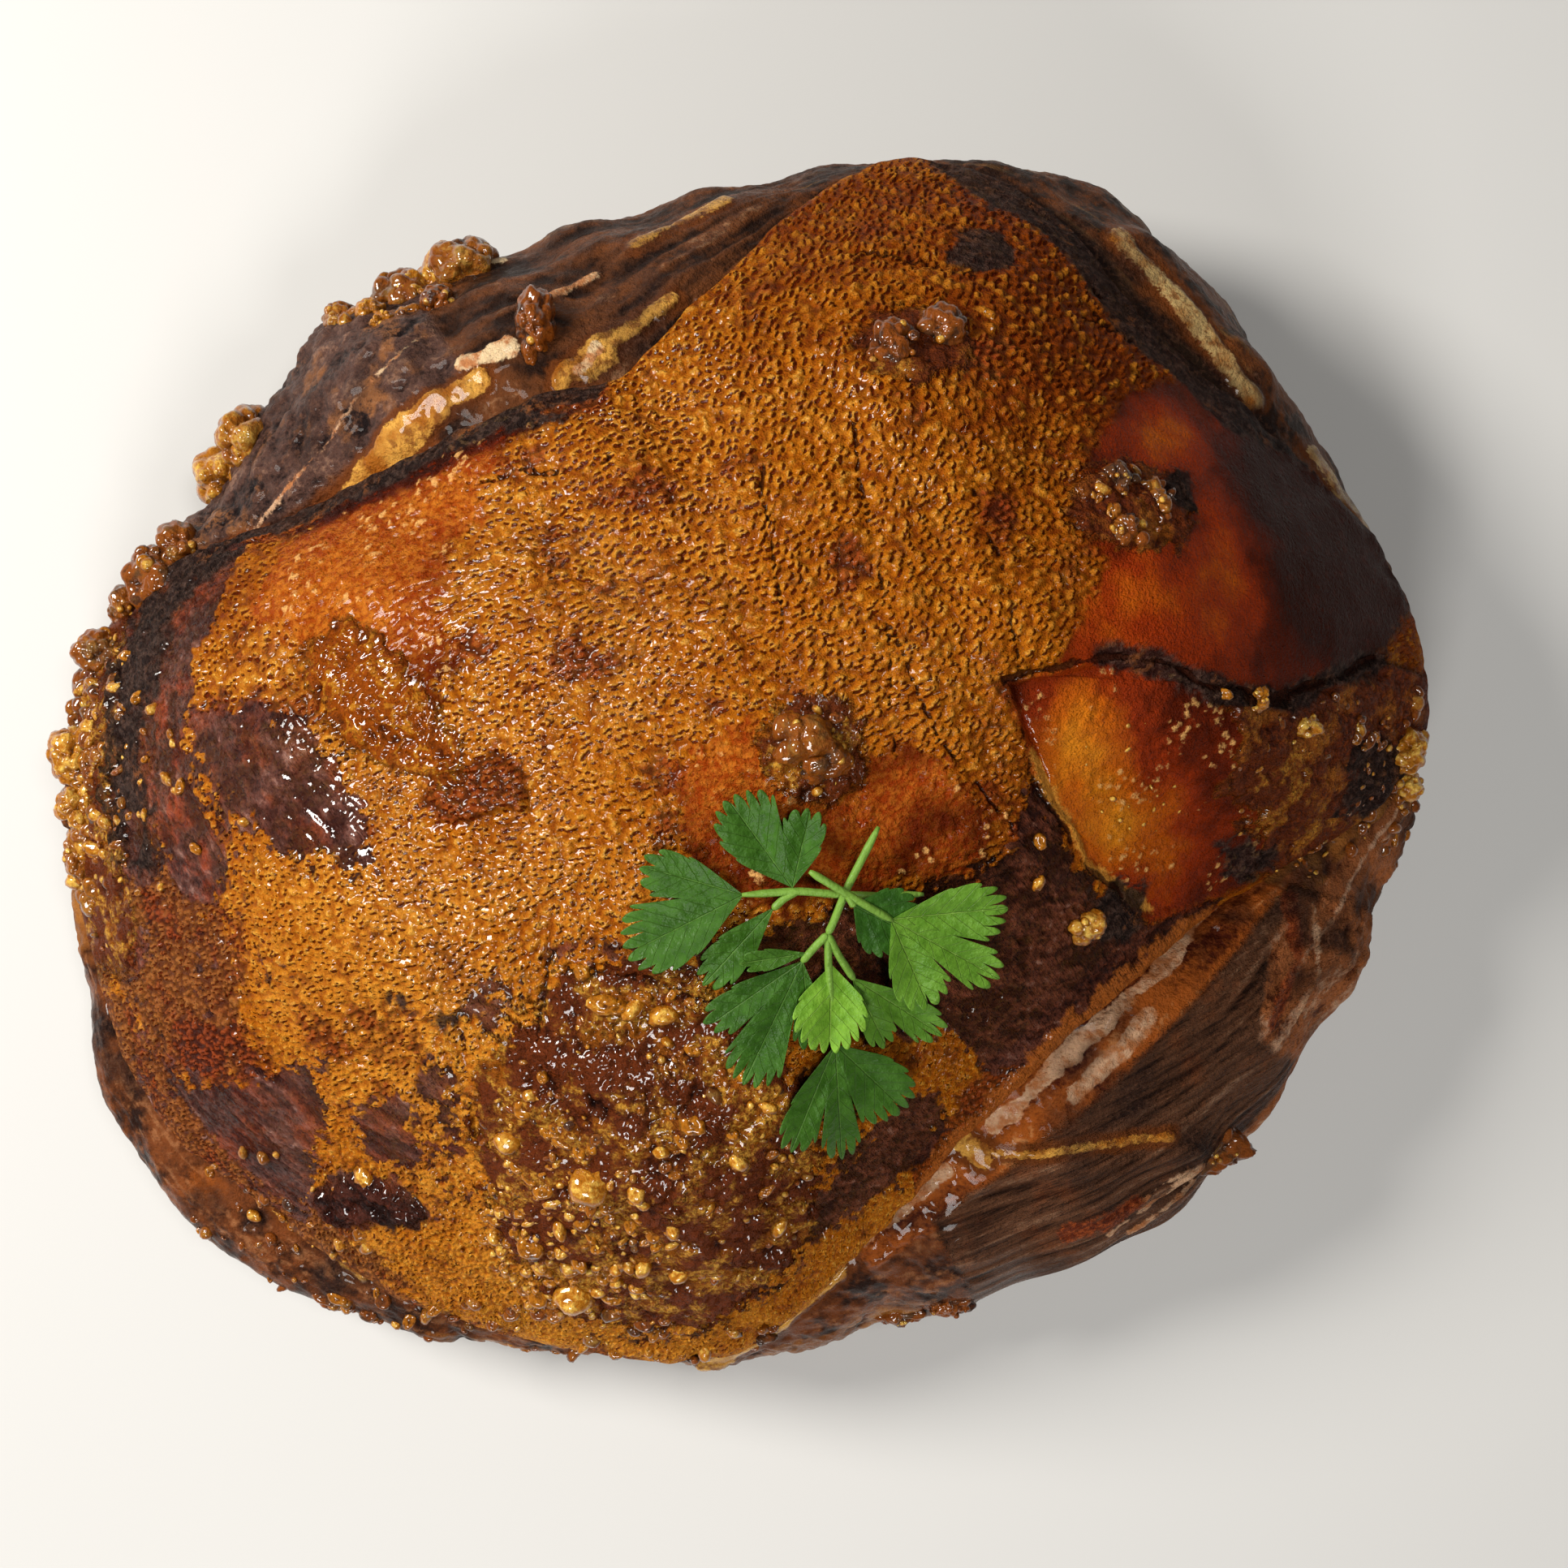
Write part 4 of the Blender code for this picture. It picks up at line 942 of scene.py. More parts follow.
# Seeded fields: x, y, reach along x and y, count, least and most radius, how golden.
BEAD_FIELDS = (
    (-40, -118, 22, 30, 130, 0.8, 2.3, 0.9), (-16, -92, 36, 40, 90, 0.8, 1.9, 0.6),
    (-44, -118, 18, 26, 80, 0.8, 1.9, 0.9), (-172, -4, 7, 36, 120, 1.2, 3.0, 0.5),
    (-164, -2, 8, 34, 50, 1.0, 2.2, 0.45), (-152, -8, 18, 30, 26, 0.9, 1.8, 0.7),
    (148, -8, 28, 20, 44, 1.0, 2.2, 0.3), (178, -8, 7, 26, 26, 1.2, 2.4, 0.35),
    (-60, -152, 75, 11, 70, 1.2, 2.6, 0.35), (-120, -118, 30, 18, 34, 1.0, 2.2, 0.35),
    (94, 58, 11, 9, 40, 0.9, 2.0, 0.35), (20, 2, 9, 10, 22, 1.0, 1.7, 0.35),
    (-88, 122, 20, 12, 24, 1.2, 2.4, 0.6),
)  # fmt: skip
CRUMB_FIELDS = (
    (-20, -97, 40, 48, 240, 0.6, 1.4, 0.35), (150, -8, 30, 24, 130, 0.5, 1.2, 0.4),
    (-166, -6, 12, 46, 110, 0.6, 1.3, 0.5), (96, -4, 18, 18, 26, 0.4, 0.9, 0.9),
    (-60, -130, 80, 30, 60, 0.5, 1.1, 0.5),
)  # fmt: skip
BUBBLES_ON_EACH = 7
# Half length in metres under which a ball counts as a bead, and the half lengths of burst bubbles.
BEAD_HALF = 0.004
BURST_SIZES = (0.0014, 0.005)


class Skin:
    """A surface under plumb lines."""

    def __init__(self, points, faces):
        faces = [tuple(int(corner) for corner in face) for face in faces]
        self.tree = BVHTree.FromPolygons([Vector(p) for p in points], faces)

    def below(self, x, y):
        """The point under x, y. Beside the ham, the line moves in towards the apex."""
        place = Vector((x, y, 1))
        hit = self.tree.ray_cast(place, Vector((0, 0, -1)))[0]
        while not hit:
            place += 0.001 * (Vector((APEX[0], APEX[1], 1)) - place).normalized()
            hit = self.tree.ray_cast(place, Vector((0, 0, -1)))[0]
        return hit


def bare_skin():
    """The smooth crown and flank without crackling, coarsely gridded."""
    crown = crown_point(*crown_grid(160)).reshape(-1, 3)
    share, bearing = np.meshgrid(np.linspace(0, 1, 16), np.linspace(0, 2 * math.pi, 241), indexing="ij")
    flank = flank_point(share, bearing).reshape(-1, 3)
    faces = np.concatenate([grid_quads(161, 161), grid_quads(16, 241) + len(crown)])
    return Skin(np.concatenate([crown, flank]), faces)


def whole_skin():
    """The solid ham with its crackling."""
    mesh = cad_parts["ham"].data
    return Skin([v.co for v in mesh.vertices], [p.vertices for p in mesh.polygons])


def ball_grid(rows, columns):
    """A unit ball from pole to pole: latitude down, longitude round."""
    down = np.linspace(0, math.pi, rows)[:, None]
    turn = np.linspace(0, 2 * math.pi, columns, endpoint=False)[None, :]
    return np.stack([np.sin(down) * np.cos(turn), np.sin(down) * np.sin(turn), np.cos(down) + 0 * turn], -1)


def crackling_piece(name, balls, rows, columns, rough, material, blistered=0.0):
    """Many knobbly balls as one mesh: each is a unit ball stretched, moved and roughened by noise,
    and where blistered is set, swollen by packed domes a third of its own size."""
    unit = ball_grid(rows, columns)
    quads = grid_quads(rows, columns, wrap=True)
    all_points, all_quads, gold, dome = [], [], [], []
    for number, (centre, half, golden) in enumerate(balls):
        c, s = math.cos(2.4 * number), math.sin(2.4 * number)
        turned = np.array(((c, s, 0), (-s, c, 0), (0, 0, 1)))
        spread = unit * np.array(half) @ (turned if max(half) < BEAD_HALF else np.eye(3))
        at = 1000 * np.moveaxis(spread + np.array(centre), -1, 0)
        across = 1000 * min(half)
        size = 1 + rough * clouds(at, 1.4 * across, 200 + number % 7, 2)
        # How far up each ball a point lies: kept in the swell field, it makes the material paint the top
        # lighter and the sides darker.
        height = np.clip(unit[..., 2], 0, 1) ** 0.7
        if number % 5 < 3 and BURST_SIZES[0] < max(half) < BURST_SIZES[1]:
            # A burst bubble: its top has sunk into a ring.
            sunk = np.exp(-((np.arccos(np.clip(unit[..., 2], -1, 1)) / 0.62) ** 2))
            size, height = size * (1 - 0.55 * sunk), height - 0.75 * sunk
        if blistered:
            swell = 0.75 * bubbles(at, 0.62 * across, 220 + number)
            swell += 0.25 * bubbles(at, 0.28 * across, 260 + number)
            size = size * (1 - blistered + 1.3 * blistered * swell)
            by_swell = 0.6 if max(half) > BEAD_HALF else 0.35
            height = by_swell * swell + (1 - by_swell) * height
        all_points.append((spread * size[..., None] + np.array(centre)).reshape(-1, 3))
        all_quads.append(quads + number * unit.shape[0] * unit.shape[1])
        gold.append(np.full(unit.shape[0] * unit.shape[1], golden))
        dome.append(height.ravel())
    masks = {"gold": np.concatenate(gold), "swell": np.concatenate(dome)}
    piece = mesh_from(name, np.concatenate(all_points), np.concatenate(all_quads), masks)
    finish_piece(piece, "ham", material)


def crackling(skin, material):
    """Nuggets with small bubbles on them, the named beads, and seeded fields of beads and crumbs."""
    draw = np.random.default_rng(20)
    cores, bubbles_on, beads, crumbs = [], [], [], []
    for x, y, half_x, half_y, stands, golden in NUGGETS:
        spot = skin.below(x / 1000, y / 1000)
        middle = np.array((spot.x, spot.y, spot.z - 0.0002 * stands))
        half = 0.00104 * np.array((half_x, half_y, stands * 1.2))
        cores.append((middle, half, golden))
        for _ in range(BUBBLES_ON_EACH):
            way = draw.normal(size=3)
            way[2] = abs(way[2])
            way /= np.linalg.norm(way)
            radius = draw.uniform(0.14, 0.3) * min(half)
            shade = min(1, golden + draw.uniform(0, 0.6))
            bubbles_on.append((middle + way * half * 0.84, (radius, radius, radius), shade))

    def bead(x, y, radius, golden, lift, kind):
        """Adds a bead of about this radius in millimetres, sunk or lifted by a share of it."""
        spot = skin.below(x / 1000, y / 1000)
        r = radius / 1000
        half = (r * draw.uniform(0.6, 1.5), r * draw.uniform(0.6, 1.15), r * draw.uniform(0.7, 1.1))
        kind.append((np.array((spot.x, spot.y, spot.z + (lift + draw.uniform(-0.5, 0.1)) * r)), half, golden))

    for x, y, radius in KNUCKLE_BEADS + LOOSE_BEADS:
        bead(x, y, 1.18 * radius, draw.uniform(0.7, 1.1), 0.25, beads)
    for kind, fields in ((beads, BEAD_FIELDS), (crumbs, CRUMB_FIELDS)):
        for cx, cy, reach_x, reach_y, count, least, most, golden in fields:
            for _ in range(count):
                angle, share = draw.uniform(0, 2 * math.pi), math.sqrt(draw.uniform(0, 1))
                place = (cx + reach_x * share * math.cos(angle), cy + reach_y * share * math.sin(angle))
                bead(*place, draw.uniform(least, most), golden + draw.uniform(-0.35, 0.35), 0.1, kind)
    crackling_piece("crackling_nuggets", cores, 42, 56, 0.44, material, blistered=0.42)
    crackling_piece("crackling_bubbles", bubbles_on, 8, 12, 0.15, material)
    crackling_piece("gold_beads", beads, 10, 13, 0.34, material, blistered=0.22)
    crackling_piece("crust_crumbs", crumbs, 6, 8, 0.25, material)


# ---------------------------------------------------------------- coriander

BLADE_THICKNESS = 0.0005
BLADE_RINGS = 26
STEM_RADIUS = 0.0009
STEM_SIDES = 12
LEVEL_STEP = 0.0026
CROSSING = (0.0285, -0.033)
CROSSING_REACH = 0.032
LOWEST_GAP = 0.0012
COVER_CELL = 0.003
COVER_HALF = 0.09
COVER_MIDDLE = (0.01, -0.04)
SHIFTS = tuple(itertools.product((-1, 0, 1), repeat=2))
LOBE_SHOULDER = 0.84
OUTER_SHOULDER = 0.42
OUTER_SPREAD = 5
TOOTH_WIDTH = 165
VEIN_SPACING = 0.0034

# Level, stems as points along each, and blades: foot, lobes (first bearing, last bearing, reach), slit,
# tip lift, edge lift, brightness. All but the level, the slit and the brightness are in millimetres.
SPRIGS = {
    "coriander_sprig_1": (
        0,
        (
            ((44.5, -30.9), (34.5, -31.2), (25.9, -30.8), (16.1, -29.9), (3.6, -30.8)),
            ((16.1, -29.9), (13, -31.6), (10.5, -34)),
        ),
        (
            ((14.9, -29.2), ((57, 98, 17.6), (101, 150, 23.8)), 0.7, 3, 1, 0.13),
            ((4, -30.8), ((147, 181, 23.2), (185, 229, 28.6)), 0.58, 2, 1.4, 0.14),
            ((10.8, -33.6), ((212, 244, 23.2),), 1, 0.4, 0.8, 0.15),
        ),
    ),
    "coriander_sprig_2": (
        1,
        (
            ((34, -15.5), (27, -29.2), (24, -37.1), (22.8, -39.6)),
            ((22.8, -39.6), (23, -46.6), (23.8, -56), (24.8, -67.2)),
            ((22.8, -39.6), (19.8, -42.7), (17, -46)),
            ((22.8, -39.6), (25.2, -44.5), (29, -50.5)),
        ),
        (
            ((17.2, -45.8), ((263, 288, 20.8), (230, 260, 30.8), (203, 227, 25.6)), 0.62, 1.2, 1, 0.12),
            ((18.5, -44), ((176, 200, 15),), 1, 2.6, 0.6, 0.2),
            ((23.8, -46.8), ((230, 308, 20),), 1, 5, -0.8, 1),
            ((28.6, -50), ((313, 338, 25.2), (282, 310, 18.4)), 0.78, 0.6, 1.2, 0.42),
            ((24.8, -66), ((288, 340, 23.6), (263, 285, 28.4), (237, 260, 27)), 0.54, 0.6, 1.2, 0.15),
        ),
    ),
    "coriander_sprig_3": (
        2,
        (
            ((18.6, -25.3), (27.1, -30.5), (37.4, -36.6)),
            ((27.1, -30.5), (28.6, -33.2)),
        ),
        (
            ((37, -36.3), ((-14, 24, 25.8), (-42, -17, 28.4), (-87, -45, 22.6)), 0.56, 2.6, 1, 0.62),
            ((28.4, -33), ((-78, 24, 15.8),), 1, -1, 0.6, 0.05),
        ),
    ),
}


def cover_surface(skin):
    """A smooth blanket over the ham that nothing pokes through, read by x and y: the highest of each
    cell and its neighbours, evened out three times."""
    half, (middle_x, middle_y) = COVER_HALF, COVER_MIDDLE
    count = int(2 * half / COVER_CELL)
    heights = np.zeros((count, count))
    for i, j in itertools.product(range(count), repeat=2):
        heights[i, j] = skin.below(middle_x - half + i * COVER_CELL, middle_y - half + j * COVER_CELL).z
    highest = heights
    for shift in SHIFTS:
        highest = np.maximum(highest, np.roll(heights, shift, (0, 1)))
    for _ in range(3):
        highest = sum(np.roll(highest, shift, (0, 1)) for shift in SHIFTS) / len(SHIFTS)

    def read(x, y):
        """The blanket's height at x, y, blended between the four cells about them."""
        u = np.clip((np.asarray(x) - middle_x + half) / COVER_CELL, 0, count - 2)
        v = np.clip((np.asarray(y) - middle_y + half) / COVER_CELL, 0, count - 2)
        i, j = u.astype(int), v.astype(int)
        f, g = u - i, v - j
        low = highest[i, j] * (1 - g) + highest[i, j + 1] * g
        high = highest[i + 1, j] * (1 - g) + highest[i + 1, j + 1] * g
        return low * (1 - f) + high * f

    return read


def level_lift(x, y, level):
    """How far a sprig of this level stands off the cover: most where the sprigs cross."""
    away = np.hypot(x - CROSSING[0], y - CROSSING[1]) / CROSSING_REACH
    return LOWEST_GAP + STEM_RADIUS + LEVEL_STEP * level * (0.45 + 0.55 * np.exp(-(away**2)))


def fan_outline(lobes, slit_depth):
    """Bearings across the fan, the blade's reach there, and each one's lobe middle: a lobe is a broad
    hump that falls away to the stalk on the outside, its whole edge cut into round teeth by short
    notches, and two lobes part in a narrow slit."""
    turns, reaches, middles = [], [], []
    ordered = sorted(lobes)
    final = len(ordered) - 1
    for number, (first, last, reach) in enumerate(ordered):
        start = first - (OUTER_SPREAD if number == 0 else 0)
        stop = last + (OUTER_SPREAD if number == final else 0)
        teeth = max(4, round((stop - start) * reach / TOOTH_WIDTH))
        t = np.linspace(0, 1, teeth * 12 + 1)
        shoulders = [OUTER_SHOULDER if at_end else LOBE_SHOULDER for at_end in (number == 0, number == final)]
        shoulder = np.where(t < 0.5, *shoulders)
        hump = shoulder + (1 - shoulder) * np.sin(math.pi * t) ** 0.55
        place = np.mod(teeth * t + 0.5, 1)
        round_tooth = np.clip(1 - np.abs(2 * place - 1) ** 1.8, 0, 1) ** 0.7
        deep = 0.15 + 0.06 * np.cos(2 * math.pi * np.round(teeth * t) * 0.38 + number)
        turns.append(start + (stop - start) * t)
        reaches.append(reach * hump * (1.04 - deep * (1 - round_tooth)))
        middles.append(np.full(t.shape, (first + last) / 2))
        if number < final:
            following = ordered[number + 1]
            turns.append(np.array([(last + following[0]) / 2]))
            reaches.append(np.array([slit_depth * min(reach, following[2])]))
            middles.append(np.array([(first + last) / 2]))
    turns, reaches, middles = (np.concatenate(rows) for rows in (turns, reaches, middles))
    return np.radians(turns), reaches / 1000, np.radians(middles)


def blade(cover, level, foot, lobes, slit_depth, tip_lift, edge_lift, bright):
    """One leaflet: a fan of rings about its foot, upper face and lower face, gently quilted between
    the veins that leave the middle of each lobe at a slant."""
    bearing, reaches, middle = fan_outline(lobes, slit_depth)
    shares = np.linspace(0, 1, BLADE_RINGS)
    turns = bearing - bearing.mean()
    reach = shares[:, None] * reaches[None, :]
    x = foot[0] / 1000 + reach * np.cos(bearing)
    y = foot[1] / 1000 + reach * np.sin(bearing)
    across = np.abs(turns[None, :]) / np.abs(turns).max()
    out = reach / reaches.max()
    wave = 0.0007 * np.sin(6 * turns[None, :] + 6 * out)
    lift = (tip_lift * out**1.5 + edge_lift * across**2 * out) / 1000 + wave * out
    aside = reach * np.sin(bearing - middle)
    along = reach * np.cos(bearing - middle)
    crease = 0.0007 * np.exp(-((aside / 0.0022) ** 2)) * np.minimum(1, 2.5 * out)
    z = cover(x, y) + level_lift(x, y, level) + np.maximum(lift - crease, -0.0004)
    quilt = 0.00004 * np.cos(2 * math.pi * (along - 1.1 * np.abs(aside)) / VEIN_SPACING)
    z = z + quilt * np.minimum(1, 2 * out)
    upper = np.stack([x, y, z + BLADE_THICKNESS / 2], -1)
    lower = np.stack([x, y, z - BLADE_THICKNESS / 2], -1)
    rows, columns = x.shape
    # The sheet closes on itself: the lower face runs back under the upper one in each ring.
    loop = np.concatenate([upper, lower[:, ::-1]], 1)
    quads = grid_quads(rows, 2 * columns, wrap=True)
    above = (rows - 1) * 2 * columns + np.arange(columns)
    under = rows * 2 * columns - 1 - np.arange(columns)
    cap = np.stack([above[:-1], under[:-1], under[1:], above[1:]], -1)
    along, aside = (np.concatenate([v, v[:, ::-1]], 1) for v in (1000 * along, 1000 * np.abs(aside)))
    edge = np.broadcast_to(shares[:, None] ** 8, along.shape)
    masks = dict(stalk=0 * along, along=along, aside=aside, bright=np.full(along.shape, bright), edge=edge)
    return loop, np.concatenate([quads, cap]), masks


def stem(cover, level, route):
    """A round stem along the route, laid on the cover, thinning a little and rounded at both ends."""
    route = np.array(route) / 1000
    steps = np.linspace(0, len(route) - 1, 10 * (len(route) - 1) + 1)
    knots = np.arange(len(route))
    x, y = np.interp(steps, knots, route[:, 0]), np.interp(steps, knots, route[:, 1])
    for _ in range(4):
        x[1:-1] = (x[:-2] + 2 * x[1:-1] + x[2:]) / 4
        y[1:-1] = (y[:-2] + 2 * y[1:-1] + y[2:]) / 4
    z = cover(x, y) + level_lift(x, y, level)
    path = np.stack([x, y, z], -1)
    along = np.gradient(path, axis=0)
    along /= np.linalg.norm(along, axis=1, keepdims=True)
    aside = np.cross(along, (0, 0, 1))
    aside /= np.linalg.norm(aside, axis=1, keepdims=True)
    up = np.cross(aside, along)
    turn = np.linspace(0, 2 * math.pi, STEM_SIDES, endpoint=False)
    t = np.linspace(0, 1, len(x))
    thick = STEM_RADIUS * np.minimum(1, 8 * np.minimum(t, 1 - t) + 0.25) ** 0.5
    ring = aside[:, None] * np.cos(turn)[None, :, None] + up[:, None] * np.sin(turn)[None, :, None]
    points = path[:, None] + ring * thick[:, None, None]
    ends = [np.repeat(end, STEM_SIDES, 1) for end in (path[:1, None], path[-1:, None])]
    points = np.concatenate([ends[0], points, ends[1]])
    quads = grid_quads(len(points), STEM_SIDES, wrap=True)[:, ::-1]
    flat = np.zeros(points.shape[:2])
    return points, quads, dict(stalk=flat + 1, along=flat, aside=flat + 9, bright=flat + 0.55, edge=flat)


def sprig_pieces(skin, material):
    """Each sprig's stems and leaflets, joined as one piece."""
    cover = cover_surface(skin)
    for name, (level, stems, blades) in SPRIGS.items():
        parts = [stem(cover, level, route) for route in stems]
        parts += [blade(cover, level, *leaf) for leaf in blades]
        points = [part_points.reshape(-1, 3) for part_points, _, _ in parts]
        firsts = np.cumsum([0] + [len(part_points) for part_points in points])
        quads = [part_quads + first for (_, part_quads, _), first in zip(parts, firsts)]
        masks = {key: np.concatenate([part[2][key].ravel() for part in parts]) for key in parts[0][2]}
        piece = mesh_from(f"{name}_leaves", np.concatenate(points), np.concatenate(quads), masks)
        finish_piece(piece, name, material)


# ---------------------------------------------------------------- materials

# What all the roast skin and meat has in common.
ROAST_MEAT = dict(
    Specular_IOR_Level=0.03,
    Subsurface_Weight=0.05,
    Subsurface_Radius=(1.0, 0.35, 0.12),
    Subsurface_Scale=0.002,
)


def operator(kind):
    """The operator that adds this kind of Math node, and its reflected form."""

    def forward(self, other):
        return self.join(kind, self, other)

    def reflected(self, other):
        return self.join(kind, other, self)

    return forward, reflected


class Wire:
    """A socket of a material that takes part in sums: + - * / with numbers and other wires."""

    __add__, __radd__ = operator("ADD")
    __sub__, __rsub__ = operator("SUBTRACT")
    __mul__, __rmul__ = operator("MULTIPLY")
    __truediv__, __rtruediv__ = operator("DIVIDE")

    def __init__(self, paint, socket):
        self.paint, self.socket = paint, socket

    def join(self, kind, a, b, clamp=False):
        """A Math node of this kind on a and b."""
        return self.paint.node("ShaderNodeMath", {"operation": kind, "use_clamp": clamp}, {0: a, 1: b})

    def clamp(self):
        """The value, held between 0 and 1."""
        return self.join("ADD", self, 0.0, True)

    def abs(self):
        """The value without its sign."""
        return self.join("ABSOLUTE", self, 0.0)

    def fract(self):
        """What is left of the value over its whole number."""
        return self.join("FRACT", self, 0.0)

    def frayed(self, grain, amount):
        """The value, moved up and down by a grain that runs from 0 to 1."""
        return self + (grain - 0.5) * amount

    def step(self, low, high):
        """0 below low, 1 above high, and a smooth rise between."""
        inputs = {"Value": self, "From Min": low, "From Max": high}
        return self.paint.node("ShaderNodeMapRange", {"interpolation_type": "SMOOTHSTEP"}, inputs)


class Paint:
    """A material under construction."""

    def __init__(self, name):
        self.material = bpy.data.materials.new(name)
        self.material.use_nodes = True
        self.tree = self.material.node_tree
        self.tree.nodes.clear()
        self.shader = self.tree.nodes.new("ShaderNodeBsdfPrincipled")
        output = self.tree.nodes.new("ShaderNodeOutputMaterial")
        self.tree.links.new(self.shader.outputs["BSDF"], output.inputs["Surface"])
        self.place = Wire(self, self.tree.nodes.new("ShaderNodeTexCoord").outputs["Object"])

    def feed(self, socket, value):
        """Links a wire to a socket, or sets its value. A colour is red, green and blue in thousandths."""
        if isinstance(value, Wire):
            self.tree.links.new(value.socket, socket)
        elif isinstance(value, (tuple, list)) and len(value) == 3 and socket.type == "RGBA":
            socket.default_value = (*(part / 1000 for part in value), 1)
        else:
            socket.default_value = value

    def node(self, kind, settings=None, inputs=None, out=0):
        """Any node: its settings are set first, then the values or links of its sockets."""
        made = self.tree.nodes.new(kind)
        for key, value in (settings or {}).items():
            setattr(made, key, value)
        for key, value in (inputs or {}).items():
            self.feed(made.inputs[key], value)
        return Wire(self, made.outputs[out])

    def mask(self, name):
        """The field of this name, kept on the mesh."""
        return self.node("ShaderNodeAttribute", {"attribute_name": name}, out="Fac")

    def masks(self, names):
        """The fields of several names."""
        return [self.mask(name) for name in names.split()]

    def patch(self, name, soft=0.4, reach=0.0):
        """1 inside the patch of this name and 0 outside, across a ragged edge of this softness."""
        return (self.mask(name) + self.ragged + reach).step(-soft, soft)

    def noise(self, scale, detail=3.0, rough=0.55, place=None):
        """Layered noise from 0 to 1, with this many lumps to the metre."""
        inputs = {"Vector": place or self.place, "Scale": scale, "Detail": detail, "Roughness": rough}
        return self.node("ShaderNodeTexNoise", {}, inputs, out=0)

    def slanted(self, turn, stretch):
        """Places turned about the vertical and then drawn out by these factors."""
        inputs = {"Vector": self.place, "Rotation": (0, 0, turn), "Scale": stretch}
        return self.node("ShaderNodeMapping", {"vector_type": "TEXTURE"}, inputs)

    def mix(self, share, first, second):
        """Colour first where share is 0 and second where it is 1."""
        return self.node("ShaderNodeMix", {"data_type": "RGBA"}, {0: share, 6: first, 7: second}, out=2)

    def layers(self, colour, *coats):
        """A ground colour under coats of others, each laid on by its own share."""
        for share, over in coats:
            colour = self.mix(share, colour, over)
        return colour

    def bumps(self, *heights):
        """Relief upon relief: height, distance and strength of each, the finest first."""
        normal = {}
        for height, distance, strength in heights:
            inputs = {"Height": height, "Distance": distance, "Strength": strength, **normal}
            normal = {"Normal": self.node("ShaderNodeBump", {}, inputs)}
        return normal["Normal"]

    def set(self, **inputs):
        """Feeds the shader's sockets and hands over the material."""
        for key, value in inputs.items():
            self.feed(self.shader.inputs[key.replace("_", " ")], value)
        return self.material


